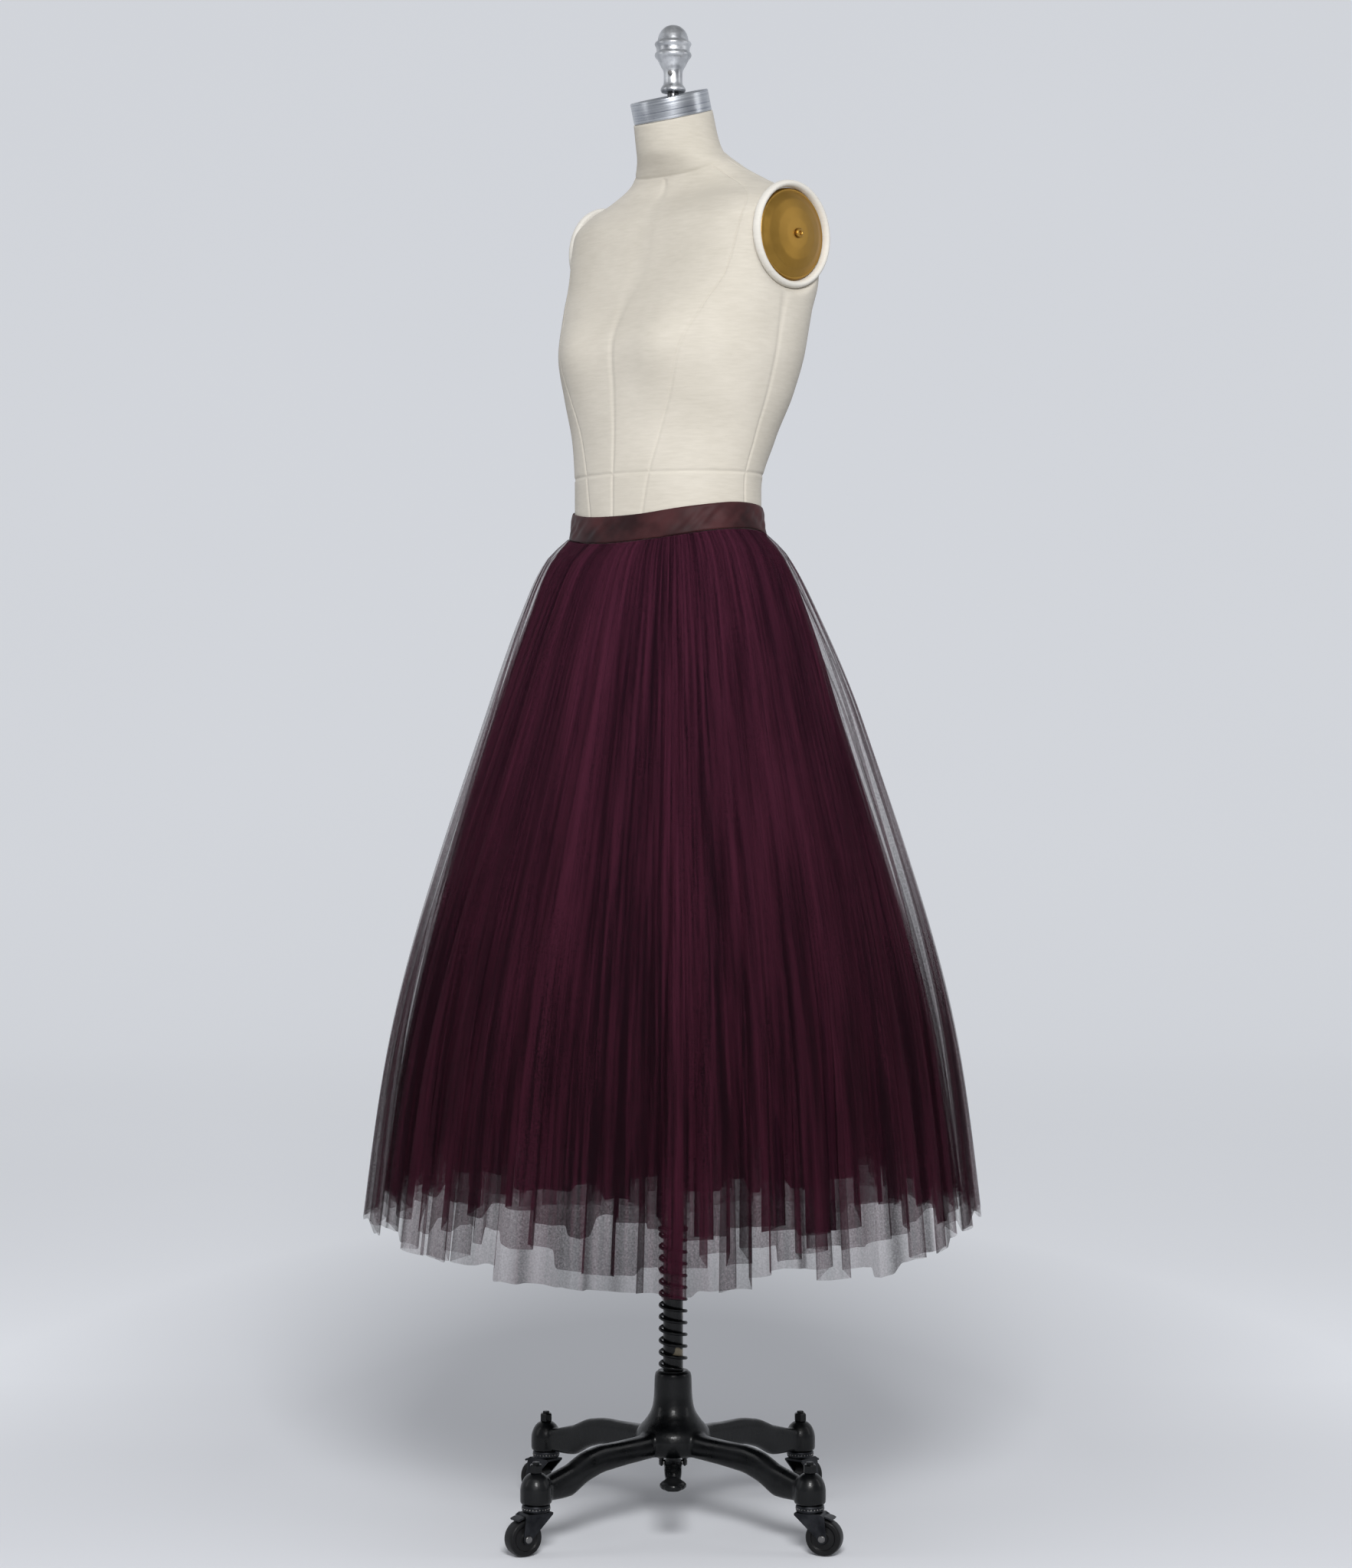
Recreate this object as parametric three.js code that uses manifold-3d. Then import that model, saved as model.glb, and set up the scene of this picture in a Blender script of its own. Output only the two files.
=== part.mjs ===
// A gathered five-layer tulle skirt on a limbless dress form with a wheeled cast base.
// Millimetres, +Z up, origin on the floor under the pole. The form's front faces -Y.
import * as THREE from "three";
import { mergeVertices } from "three/addons/utils/BufferGeometryUtils.js";
import Module from "manifold-3d";

const wasm = await Module();
wasm.setup();

// ---------- driving dimensions ----------
const GAP = 0.3; // between touching pieces

// Skirt
const PLEATS = 40; // in each layer, all round
const TULLE_WALL = 1.2;
const WAIST = { halfX: 118, halfY: 84, centreY: -9 }; // the form's waist
const WAIST_TILT = -2; // the band is this much lower behind, and higher in front
const WAIST_SADDLE = 8; // it is this much higher at the sides, and lower in front and behind
const HEM_DIP = 18.5; // the hem drops and rises by this round the skirt
const HEM_DIP_TURN = -Math.PI / 4;
const HEM_RIPPLE = { height: 3, waves: 17 };

// Rows of the skirt from the band to the floor. width is the half width over the crests,
// seen at 45 degrees; round is depth over width; pleat is half a fold's depth and sweep the
// depth of a broad one; step is the distance from a layer to the next; tilt is the share of
// the band's rise; shift moves the row back along +Y; stand is how far the outermost layer
// stands off the others on its full side and on the opposite one.
const SKIRT_ROWS = [
  { z: 1080.5, width: 111.2, round: 0.73, pleat: 0, sweep: 0, step: 1.7, tilt: 1, shift: -9, stand: [0, 0] },
  { z: 1062, width: 133, round: 0.75, pleat: 2, sweep: 0.3, step: 2, tilt: 0.8, shift: -10, stand: [4, 4] },
  { z: 1000, width: 166, round: 0.8, pleat: 3, sweep: 1, step: 3.4, tilt: 0.5, shift: -7, stand: [10, 6] },
  { z: 880, width: 215, round: 0.87, pleat: 5.5, sweep: 3.5, step: 5, tilt: 0, shift: 0, stand: [22, 4] },
  { z: 530, width: 321, round: 0.97, pleat: 9, sweep: 7, step: 6, tilt: 0, shift: 2, stand: [21, 14] },
  { z: 300, width: 353, round: 1, pleat: 11, sweep: 9, step: 6, tilt: 0, shift: 2, stand: [13, 14] },
];
const SAIL_TURN = Math.PI / 4;
const SAIL_SPREAD = 0.5;
// The layers from the outside in; hem is the mean height of the lower edge.
const LAYERS = [
  { hem: 328, columns: 4, skips: [] },
  { hem: 355, columns: 2, skips: [880] },
  { hem: 385, columns: 2, skips: [1000, 880] },
  { hem: 427, columns: 2, skips: [1000, 880] },
  { hem: 458, columns: 2, skips: [1000, 880] },
];

// Waistband
const BAND = { height: 28.5, wall: 2.6, lift: 0.6, bottom: 1081.2 };
const BAND_COLUMNS = 48;
const TAB = { length: 34, height: 22, wall: 2 };
const BUTTON = { radius: 6.5, thick: 2.6 };

// Dress form: half width, centre in depth, half depth, squareness and slope of each section
const FORM_ROWS = [
  { z: 780, halfX: 156, centreY: 0, halfY: 102, square: 2.2, slope: 0 },
  { z: 796, halfX: 164, centreY: 0, halfY: 110, square: 2.2, slope: 0 },
  { z: 900, halfX: 166, centreY: 0, halfY: 118, square: 2.2, slope: 0 },
  { z: 980, halfX: 150, centreY: -3, halfY: 106, square: 2.2, slope: 0 },
  { z: 1030, halfX: 131, centreY: -6, halfY: 93, square: 2.1, slope: 0 },
  { z: 1068, halfX: 118, centreY: -9, halfY: 84, square: 2, slope: 0 },
  { z: 1135, halfX: 118, centreY: -9, halfY: 84, square: 2, slope: 0 },
  { z: 1190, halfX: 126, centreY: 0, halfY: 91, square: 2.1, slope: 0 },
  { z: 1240, halfX: 138, centreY: 8, halfY: 100, square: 2.3, slope: 0 },
  { z: 1290, halfX: 147, centreY: 13, halfY: 107, square: 2.4, slope: 0 },
  { z: 1330, halfX: 148, centreY: 20, halfY: 98, square: 2.8, slope: 0 },
  { z: 1365, halfX: 148, centreY: 29, halfY: 86, square: 3.6, slope: 0 },
  { z: 1425, halfX: 147, centreY: 35, halfY: 79, square: 3.8, slope: 0 },
  { z: 1446, halfX: 140, centreY: 38, halfY: 68, square: 3.2, slope: 0 },
  { z: 1462, halfX: 119, centreY: 40, halfY: 56, square: 2.6, slope: 0 },
  { z: 1476, halfX: 92, centreY: 37, halfY: 50, square: 2.3, slope: 0 },
  { z: 1490, halfX: 71, centreY: 26, halfY: 47, square: 2, slope: 0.03 },
  { z: 1512, halfX: 48, centreY: 9, halfY: 45, square: 2, slope: 0.12 },
  { z: 1546.5, halfX: 43, centreY: 0, halfY: 43.5, square: 2, slope: 0.287 },
];
const FORM_SIDES = 28;
const BUST = { depth: 9, x: 72, z: 1283, wide: 40, tall: 46 };
const NECK_TILT = Math.atan(0.287);
const CAP = { radius: 43.5, height: 24, rim: 3.5, floor: 1.6 };
const PLATE = { radius: 50, y: 38, z: 1408, seatX: 138, rim: 4, dome: 11, slope: 36 };
const RING = { outer: 57, proud: 10 };
const STUD = { radius: 5.5, height: 4 };
const ARM_SIDES = 20; // of each arm plate, its ring and its seat

// Stand
const POST = { radius: 10.8, bottom: 96, top: 950 };
const TUBE = { outer: 12.2, inner: 11.2, bottom: 327.6, top: 1040 };
const SPRING = { radius: 14.1, wire: 2, turns: 11.5, bottom: 171.8, top: 320.3 };
const SEAT = { outer: 16.5, bottom: 322.6, top: 327.3 };
const HUB_TOP = 169.5;
const HUB_FOOT = 79;
const HUB_PROFILE = [
  { r: 43, z: HUB_FOOT },
  { r: 46, z: 86 },
  { r: 45.5, z: 97 },
  { r: 39.5, z: 107 },
  { r: 31.5, z: 114 },
  { r: 25.5, z: 122 },
  { r: 22.5, z: 131 },
  { r: 20.8, z: 148 },
  { r: 20.2, z: 166 },
  { r: 18.5, z: HUB_TOP },
];
// Stations along a leg: reach from the pole, heights of its top and underside, and width
const LEG_STATIONS = [
  { reach: 4, top: 118, under: HUB_FOOT, width: 30 },
  { reach: 30, top: 108, under: HUB_FOOT, width: 27 },
  { reach: 47, top: 103.5, under: 78, width: 23 },
  { reach: 80, top: 102.5, under: 76, width: 19.5 },
  { reach: 112, top: 102.5, under: 73, width: 18 },
  { reach: 135, top: 98.5, under: 66, width: 18 },
  { reach: 157, top: 88.5, under: 53.8, width: 18 },
  { reach: 200, top: 77, under: 54, width: 18 },
];
const CASTER_REACH = 205;
const HOUSING_PROFILE = [
  { r: 16.8, z: 53.5 },
  { r: 16.8, z: 71 },
  { r: 13.5, z: 81 },
  { r: 7.5, z: 86 },
];
const NUT = { radius: 7.2, height: 9, tip: 4.2, tipHeight: 2.5 };
const RACE = { radius: 15.2, top: 53.2, bottom: 45.3 };
const WHEEL = { radius: 19.5, width: 17, bore: 2.8, sides: 24 };
const AXLE = { radius: 2.5, head: 4, headThick: 1.6 };
const TRAIL = 16;
const FORK = { halfWidth: 11.6, cheek: 2, plate: 2.3, hole: 2.8, length: 14.5, end: 5.5 };
// Pedal: reach along its own direction, middle height, width and thickness
const PEDAL_STATIONS = [
  { reach: 13, z: 72, width: 18, thick: 7 },
  { reach: 21, z: 72.5, width: 20, thick: 9.5 },
  { reach: 60, z: 72.5, width: 19.5, thick: 9 },
  { reach: 98, z: 68.3, width: 15, thick: 8 },
  { reach: 104, z: 67.4, width: 22, thick: 8 },
  { reach: 115, z: 66.7, width: 28.8, thick: 8 },
  { reach: 129, z: 66, width: 16, thick: 7 },
];
const PEDAL_PIVOT = { reach: 21, z: 72.5, radius: 3, hole: 3.3, halfLength: 15.5 };
const EAR = { inner: 10.6, outer: 14.8, from: 13, to: 28.5, low: 67.5, height: 14 };

// ---------- materials ----------
const finish = (color, roughness, metalness = 0, opacity = 1) =>
  new THREE.MeshStandardMaterial({
    color, roughness, metalness, opacity, transparent: opacity < 1, side: THREE.DoubleSide,
  });
const TULLE = finish(0x43202b, 0.85, 0, 0.6);
const SATIN = finish(0x3a2226, 0.45);
const LINEN = finish(0xd9cfbb, 0.9);
const CREAM = finish(0xe4dccb, 0.85);
const BRIGHT = finish(0xb9b6ae, 0.35, 1);
const BRASS = finish(0xb08d4a, 0.35, 1);
const BLACK_IRON = finish(0x0d0e10, 0.45, 0.4);
const STEEL = finish(0x55565a, 0.4, 1);
const RUBBER = finish(0x141416, 0.6);

// ---------- shape helpers ----------
const root = new THREE.Group();

function addMesh(name, geometry, material, parent = root) {
  const mesh = new THREE.Mesh(geometry, material);
  mesh.name = name;
  parent.add(mesh);
  return mesh;
}

function signedVolume(points, triangles) {
  let sum = 0;
  for (let i = 0; i < triangles.length; i += 3) {
    const [a, b, c] = [0, 1, 2].map((k) => points[triangles[i + k]]);
    sum += a.dot(new THREE.Vector3().crossVectors(b, c));
  }
  return sum;
}

// One closed geometry from shared points and triangles, turned so that its faces point out.
function closedGeometry(points, triangles) {
  const turned = signedVolume(points, triangles) < 0 ? [...triangles].reverse() : triangles;
  const geometry = new THREE.BufferGeometry().setFromPoints(points);
  geometry.setIndex(turned);
  geometry.computeVertexNormals();
  return geometry;
}

// A solid through closed rings of equally many points, with flat ends.
function loft(rings) {
  const sides = rings[0].length;
  const points = rings.flat();
  const triangles = [];
  for (let r = 0; r + 1 < rings.length; r++) {
    for (let s = 0; s < sides; s++) {
      const a = r * sides + s;
      const b = r * sides + ((s + 1) % sides);
      triangles.push(a, b, b + sides, a, b + sides, a + sides);
    }
  }
  const last = (rings.length - 1) * sides;
  for (let s = 1; s + 1 < sides; s++) {
    triangles.push(0, s + 1, s, last, last + s, last + s + 1);
  }
  return closedGeometry(points, triangles);
}

// A wall between two grids of points, outer and inner, closed along its four edges.
function wall(outer, inner) {
  const rows = outer.length;
  const columns = outer[0].length;
  const points = [...outer.flat(), ...inner.flat()];
  const half = rows * columns;
  const at = (side, r, c) => side * half + r * columns + c;
  const triangles = [];
  const quad = (a, b, c, d) => triangles.push(a, b, c, a, c, d);
  for (let r = 0; r + 1 < rows; r++) {
    for (let c = 0; c + 1 < columns; c++) {
      quad(at(0, r, c), at(0, r, c + 1), at(0, r + 1, c + 1), at(0, r + 1, c));
      quad(at(1, r, c), at(1, r + 1, c), at(1, r + 1, c + 1), at(1, r, c + 1));
    }
    const end = columns - 1;
    quad(at(0, r, 0), at(0, r + 1, 0), at(1, r + 1, 0), at(1, r, 0));
    quad(at(0, r + 1, end), at(0, r, end), at(1, r, end), at(1, r + 1, end));
  }
  for (let c = 0; c + 1 < columns; c++) {
    const foot = rows - 1;
    quad(at(0, 0, c + 1), at(0, 0, c), at(1, 0, c), at(1, 0, c + 1));
    quad(at(0, foot, c), at(0, foot, c + 1), at(1, foot, c + 1), at(1, foot, c));
  }
  return closedGeometry(points, triangles);
}

// A turned solid about +Z; each point is { r, z }, and the profile starts and ends on the axis.
function turned(profile, sides = 24) {
  const ends = [{ r: 0, z: profile[0].z }, ...profile, { r: 0, z: profile.at(-1).z }];
  const outline = ends.map((p) => new THREE.Vector2(p.r, p.z));
  return new THREE.LatheGeometry(outline, sides).rotateX(Math.PI / 2);
}

// A turned ring about +Z; the profile closes on itself.
function turnedRing(profile, sides = 24) {
  const outline = [...profile, profile[0]].map((p) => new THREE.Vector2(p.r, p.z));
  return new THREE.LatheGeometry(outline, sides).rotateX(Math.PI / 2);
}

function rod(radius, length, sides = 16) {
  return new THREE.CylinderGeometry(radius, radius, length, sides).rotateX(Math.PI / 2);
}

function toSolid(geometry) {
  const bare = geometry.clone();
  bare.deleteAttribute("normal");
  bare.deleteAttribute("uv");
  const merged = mergeVertices(bare, 1e-3);
  const vertProperties = new Float32Array(merged.attributes.position.array);
  let triVerts = new Uint32Array(merged.index.array);
  triVerts = triVerts.filter((_, i) => {
    const k = i - (i % 3);
    const [a, b, c] = [triVerts[k], triVerts[k + 1], triVerts[k + 2]];
    return a !== b && b !== c && a !== c;
  });
  return new wasm.Manifold(new wasm.Mesh({ numProp: 3, vertProperties, triVerts }));
}

function toGeometry(solid) {
  const mesh = solid.getMesh();
  const geometry = new THREE.BufferGeometry();
  geometry.setAttribute("position", new THREE.BufferAttribute(mesh.vertProperties, 3));
  geometry.setIndex(new THREE.BufferAttribute(mesh.triVerts, 1));
  geometry.computeVertexNormals();
  return geometry;
}

// ---------- skirt ----------
// The pleats are uneven: their crests are crowded here and spread there, and some are deeper.
const PLEAT_CROWDING = { broad: 0.03, broadWaves: 6, fine: 0.016, fineWaves: 11 };
const PLEAT_DEPTH = { mean: 0.86, change: 0.14, waves: 13, start: 0.4 };
// Broad folds that run under the pleats
const SWEEPS = [
  { share: 0.6, waves: 5, start: 0.7 },
  { share: 0.4, waves: 9, start: 2.1 },
];
function pleatTurn(u) {
  const broad = Math.sin(PLEAT_CROWDING.broadWaves * u + 1) - Math.sin(1);
  const fine = Math.sin(PLEAT_CROWDING.fineWaves * u);
  return u + PLEAT_CROWDING.broad * broad + PLEAT_CROWDING.fine * fine;
}

// Fold height from 1 on a crest to -1 in a trough, at a quarter step of the pleat
const PLEAT_SHAPE = [1, 0.3, -1, 0.3];
function pleatHeight(u) {
  const phase = (((u * PLEATS) / (2 * Math.PI)) * 4) % 4;
  const low = Math.floor(phase + 1e-6) % 4;
  const part = phase - Math.floor(phase + 1e-6);
  const height = PLEAT_SHAPE[low] * (1 - part) + PLEAT_SHAPE[(low + 1) % 4] * part;
  return height - 1;
}
function pleatDepth(u) {
  return PLEAT_DEPTH.mean + PLEAT_DEPTH.change * Math.sin(PLEAT_DEPTH.waves * u + PLEAT_DEPTH.start);
}

// From 0 on the outermost crest to -1 in the deepest broad trough
function sweepHeight(u) {
  const swing = SWEEPS.reduce((sum, s) => sum + s.share * Math.sin(s.waves * u + s.start), 0);
  return (swing - 1) / 2;
}

// How much higher than its mean height the waist lies here
function waistRise(turn) {
  return WAIST_TILT * Math.sin(turn) + WAIST_SADDLE * Math.cos(2 * turn);
}

// How far the outermost layer stands off the next one here
function standOff(row, u) {
  const near = (turn) => {
    const apart = Math.atan2(Math.sin(u - turn), Math.cos(u - turn));
    return Math.exp(-((apart / SAIL_SPREAD) ** 2));
  };
  return row.stand[0] * near(SAIL_TURN) + row.stand[1] * near(SAIL_TURN + Math.PI);
}

function rowNormal(rows, i) {
  if (i === 0) return { r: 1, z: 0 };
  const before = rows[i - 1];
  const after = rows[Math.min(i + 1, rows.length - 1)];
  const down = before.z - after.z;
  const out = after.width - before.width;
  const length = Math.hypot(down, out);
  return { r: down / length, z: out / length };
}

// A point of a layer, where inset is how far it lies inside the outermost crests' surface.
// The hem's row is moved to the layer's own hem, on the same flare.
function skirtPoint(rows, i, u, inset, hem) {
  const row = rows[i];
  const turn = pleatTurn(u);
  const isHem = i === rows.length - 1;
  const dip = Math.cos(2 * (turn - HEM_DIP_TURN));
  const ripple = HEM_RIPPLE.height * Math.sin(HEM_RIPPLE.waves * u + hem);
  const z = isHem ? hem - HEM_DIP * dip + ripple : row.z;
  const above = rows[i - 1];
  const share = isHem ? (above.z - z) / (above.z - row.z) : 1;
  const mix = (key) => (isHem ? above[key] + (row[key] - above[key]) * share : row[key]);
  const normal = rowNormal(rows, i);
  const fold = mix("pleat") * pleatDepth(u) * pleatHeight(u) + mix("sweep") * sweepHeight(u);
  const halfX = mix("width") * Math.sqrt(2 / (1 + mix("round") ** 2));
  const halfY = halfX * mix("round");
  const offset = fold - inset;
  return new THREE.Vector3(
    (halfX + offset * normal.r) * Math.cos(turn),
    row.shift + (halfY + offset * normal.r) * Math.sin(turn),
    z + row.tilt * waistRise(turn) - inset * normal.z,
  );
}

function skirtPanel(layer, index, from) {
  const rows = SKIRT_ROWS.filter((row) => !layer.skips.includes(row.z));
  const columns = (PLEATS / 2) * layer.columns;
  const grid = (extra) =>
    rows.map((row, i) => {
      const line = [];
      for (let c = 0; c <= columns; c++) {
        const u = from + (Math.PI * c) / columns;
        const inset = index > 0 ? index * row.step + standOff(row, u) : 0;
        const point = skirtPoint(rows, i, u, inset + extra, layer.hem);
        // The two ends keep half a gap to the side seam.
        const end = c === 0 ? 1 : c === columns ? -1 : 0;
        const along = new THREE.Vector3(-Math.sin(u), Math.cos(u), 0);
        line.push(point.addScaledVector(along, (end * GAP) / 2));
      }
      return line;
    });
  return wall(grid(0), grid(TULLE_WALL));
}

LAYERS.forEach((layer, index) => {
  addMesh(`tulle_${index + 1}_back`, skirtPanel(layer, index, 0), TULLE);
  addMesh(`tulle_${index + 1}_front`, skirtPanel(layer, index, Math.PI), TULLE);
});

// ---------- waistband with its tab and button at the centre back ----------
function bandPoint(turn, out, z) {
  return new THREE.Vector3(
    (WAIST.halfX + out) * Math.cos(turn),
    WAIST.centreY + (WAIST.halfY + out) * Math.sin(turn),
    z + waistRise(turn),
  );
}

// A strip of band from one turn to another, its rows between two heights
function bandStrip(from, to, columns, low, high, out, thick) {
  const levels = [high, low];
  const grid = (offset) =>
    levels.map((z) =>
      Array.from({ length: columns + 1 }, (_, c) =>
        bandPoint(from + ((to - from) * c) / columns, out + offset, z),
      ),
    );
  return wall(grid(thick), grid(0));
}

const BACK = Math.PI / 2;
const bandSlit = GAP / 2 / WAIST.halfX; // at the centre back the band runs along X
const bandTop = BAND.bottom + BAND.height;
const bandTurns = [BACK + bandSlit, BACK + 2 * Math.PI - bandSlit];
addMesh(
  "waistband",
  bandStrip(...bandTurns, BAND_COLUMNS, BAND.bottom, bandTop, BAND.lift, BAND.wall),
  SATIN,
);
const tabHalf = TAB.length / 2 / WAIST.halfX;
const tabLow = BAND.bottom + (BAND.height - TAB.height) / 2;
const FACET = 0.15; // the flat facets of a coarse strip cut inside the true curve by this
const tabOut = BAND.lift + BAND.wall + GAP + FACET;
addMesh(
  "waistband_tab",
  bandStrip(BACK - tabHalf, BACK + tabHalf, 4, tabLow, tabLow + TAB.height, tabOut, TAB.wall),
  SATIN,
);
const button = addMesh("waist_button", rod(BUTTON.radius, BUTTON.thick, 16), BRIGHT);
button.rotation.x = Math.PI / 2;
const buttonOut = tabOut + TAB.wall + GAP + BUTTON.thick / 2;
button.position.copy(bandPoint(BACK, buttonOut, bandTop - BAND.height / 2));

// ---------- dress form ----------
function formPoint(row, angle) {
  const power = 2 / row.square;
  const c = Math.cos(angle);
  const s = Math.sin(angle);
  const x = row.halfX * Math.sign(c) * Math.abs(c) ** power;
  let y = row.centreY + row.halfY * Math.sign(s) * Math.abs(s) ** power;
  if (s < 0) {
    const across = ((Math.abs(x) - BUST.x) / BUST.wide) ** 2;
    const along = ((row.z - BUST.z) / BUST.tall) ** 2;
    y -= BUST.depth * Math.abs(s) * Math.exp(-across - along);
  }
  return new THREE.Vector3(x, y, row.z + row.slope * (y - row.centreY));
}

const formRings = FORM_ROWS.map((row) =>
  Array.from({ length: FORM_SIDES }, (_, i) =>
    formPoint(row, (2 * Math.PI * (i + 0.5)) / FORM_SIDES),
  ),
);
const boreFoot = FORM_ROWS[0].z - 20;
const boreTop = TUBE.top + GAP;
const poleBore = rod(TUBE.outer + GAP, boreTop - boreFoot, 16);
poleBore.translate(0, 0, (boreTop + boreFoot) / 2);
let formSolid = toSolid(loft(formRings)).subtract(toSolid(poleBore));
const POCKET_LENGTH = 60; // well past the form's side
for (const side of [1, -1]) {
  const pocket = rod(RING.outer + GAP, POCKET_LENGTH, ARM_SIDES).rotateY(Math.PI / 2);
  pocket.translate(side * (PLATE.seatX + POCKET_LENGTH / 2), PLATE.y, PLATE.z);
  formSolid = formSolid.subtract(toSolid(pocket));
}
addMesh("form_torso", toGeometry(formSolid), LINEN);

// Neck cap: a shallow dish on the sloping neck
const neck = new THREE.Group();
neck.position.set(0, 0, FORM_ROWS.at(-1).z);
neck.rotation.x = NECK_TILT;
root.add(neck);
const capProfile = [
  { r: CAP.radius - 1, z: GAP },
  { r: CAP.radius, z: GAP + 1.2 },
  { r: CAP.radius, z: CAP.height - 1.2 },
  { r: CAP.radius - 1.2, z: CAP.height },
  { r: CAP.radius - CAP.rim, z: CAP.height },
  { r: CAP.radius - CAP.rim - 1, z: CAP.height - CAP.floor },
];
addMesh("neck_cap", turned(capProfile, 24), BRIGHT, neck);

// Finial: a domed knob with two collars on a stem, over a spindle cut to the slope of the cap
const FINIAL_FOOT = FORM_ROWS.at(-1).z + (CAP.height - CAP.floor) / Math.cos(NECK_TILT);
const FINIAL_PROFILE = [
  { r: 6.2, z: -9 },
  { r: 6.2, z: 4.7 },
  { r: 13, z: 5 },
  { r: 13.9, z: 7.5 },
  { r: 13.2, z: 10 },
  { r: 10.3, z: 14 },
  { r: 10.3, z: 27 },
  { r: 13.5, z: 33 },
  { r: 17.4, z: 41 },
  { r: 20.3, z: 45.6 },
  { r: 18.5, z: 49.5 },
  { r: 18.6, z: 53.5 },
  { r: 20.3, z: 57.8 },
  { r: 17.4, z: 61.5 },
  { r: 15.6, z: 67.5 },
  { r: 11.8, z: 74 },
  { r: 5, z: 78.5 },
];
const finialGeometry = turned(FINIAL_PROFILE, 12).translate(0, 0, FINIAL_FOOT);
const CAP_SPACE = { width: 120, depth: 60 }; // all that lies under the finial's sloping foot
const capSpace = new THREE.BoxGeometry(CAP_SPACE.width, CAP_SPACE.width, CAP_SPACE.depth);
capSpace.translate(0, 0, GAP - CAP_SPACE.depth / 2);
capSpace.rotateX(NECK_TILT).translate(0, 0, FINIAL_FOOT);
addMesh("finial", toGeometry(toSolid(finialGeometry).subtract(toSolid(capSpace))), BRIGHT);
const SCREW = { radius: 2.6, length: 4, z: 24, stem: 10.3, turn: -Math.PI / 3 };
const screwReach = SCREW.stem + GAP + SCREW.length / 2;
const screwGeometry = rod(SCREW.radius, SCREW.length, 8).rotateY(Math.PI / 2);
screwGeometry.translate(screwReach, 0, FINIAL_FOOT + SCREW.z).rotateZ(SCREW.turn);
addMesh("finial_screw", screwGeometry, STEEL);

// Arm plates: a domed plate with a stud, in a padded ring, in a round seat in each side
const PLATE_PROFILE = [
  { r: PLATE.radius, z: 0 },
  { r: PLATE.radius, z: PLATE.rim },
  { r: PLATE.slope, z: PLATE.rim + PLATE.dome * 0.64 },
  { r: STUD.radius + 1.5, z: PLATE.rim + PLATE.dome },
];
const RING_PROFILE = [
  { r: PLATE.radius + GAP, z: 0 },
  { r: RING.outer, z: 0 },
  { r: RING.outer - 1, z: RING.proud },
  { r: PLATE.radius + 1.8, z: RING.proud },
];
const STUD_PROFILE = [
  { r: STUD.radius, z: 0 },
  { r: STUD.radius - 0.6, z: STUD.height - 1.4 },
  { r: STUD.radius - 3, z: STUD.height },
];
for (const [side, name] of [[1, "left"], [-1, "right"]]) {
  const arm = new THREE.Group();
  arm.position.set(side * (PLATE.seatX + GAP), PLATE.y, PLATE.z);
  arm.rotation.y = (side * Math.PI) / 2;
  root.add(arm);
  addMesh(`arm_plate_${name}`, turned(PLATE_PROFILE, ARM_SIDES), BRASS, arm);
  addMesh(`arm_ring_${name}`, turnedRing(RING_PROFILE, ARM_SIDES), CREAM, arm);
  const stud = addMesh(`arm_stud_${name}`, turned(STUD_PROFILE, 10), BRASS, arm);
  stud.position.z = PLATE.rim + PLATE.dome + GAP;
}

// ---------- stand ----------
// An eight-sided upright section across a direction, at a reach from the pole
function section(turn, reach, middle, width, height, cut) {
  const along = new THREE.Vector3(Math.cos(turn), Math.sin(turn), 0);
  const across = new THREE.Vector3(-Math.sin(turn), Math.cos(turn), 0);
  const w = width / 2;
  const h = height / 2;
  const corners = [
    [w, h - cut], [w - cut, h], [cut - w, h], [-w, h - cut],
    [-w, cut - h], [cut - w, -h], [w - cut, -h], [w, cut - h],
  ];
  return corners.map(([a, b]) =>
    new THREE.Vector3(0, 0, middle + b).addScaledVector(along, reach).addScaledVector(across, a),
  );
}

const LEG_TURNS = { front: -Math.PI / 2, left: 0, back: Math.PI / 2, right: Math.PI };
const PEDAL_TURN = -Math.PI / 4;

let base = toSolid(turned(HUB_PROFILE, 12));
for (const turn of Object.values(LEG_TURNS)) {
  const leg = LEG_STATIONS.map((s) =>
    section(turn, s.reach, (s.top + s.under) / 2, s.width, s.top - s.under, 4),
  );
  const housing = turned(HOUSING_PROFILE, 8);
  housing.translate(CASTER_REACH * Math.cos(turn), CASTER_REACH * Math.sin(turn), 0);
  base = base.add(toSolid(loft(leg))).add(toSolid(housing));
}
const socket = rod(POST.radius + GAP + 0.2, HUB_TOP - POST.bottom + 2, 12);
socket.translate(0, 0, (HUB_TOP + 2 + POST.bottom) / 2);
base = base.subtract(toSolid(socket));

// Two ears under the hub hold the pedal's pin.
function acrossPedal(geometry, reach, z) {
  geometry.rotateZ(PEDAL_TURN);
  return geometry.translate(reach * Math.cos(PEDAL_TURN), reach * Math.sin(PEDAL_TURN), z);
}
const pinBore = (radius, length) => rod(radius, length, 16).rotateX(Math.PI / 2);
for (const side of [1, -1]) {
  const ear = new THREE.BoxGeometry(EAR.to - EAR.from, EAR.outer - EAR.inner, EAR.height);
  ear.translate(0, (side * (EAR.outer + EAR.inner)) / 2, EAR.low + EAR.height / 2);
  base = base.add(toSolid(acrossPedal(ear, (EAR.from + EAR.to) / 2, 0)));
}
const pinHole = acrossPedal(pinBore(PEDAL_PIVOT.hole, 40), PEDAL_PIVOT.reach, PEDAL_PIVOT.z);
base = base.subtract(toSolid(pinHole));
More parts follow.
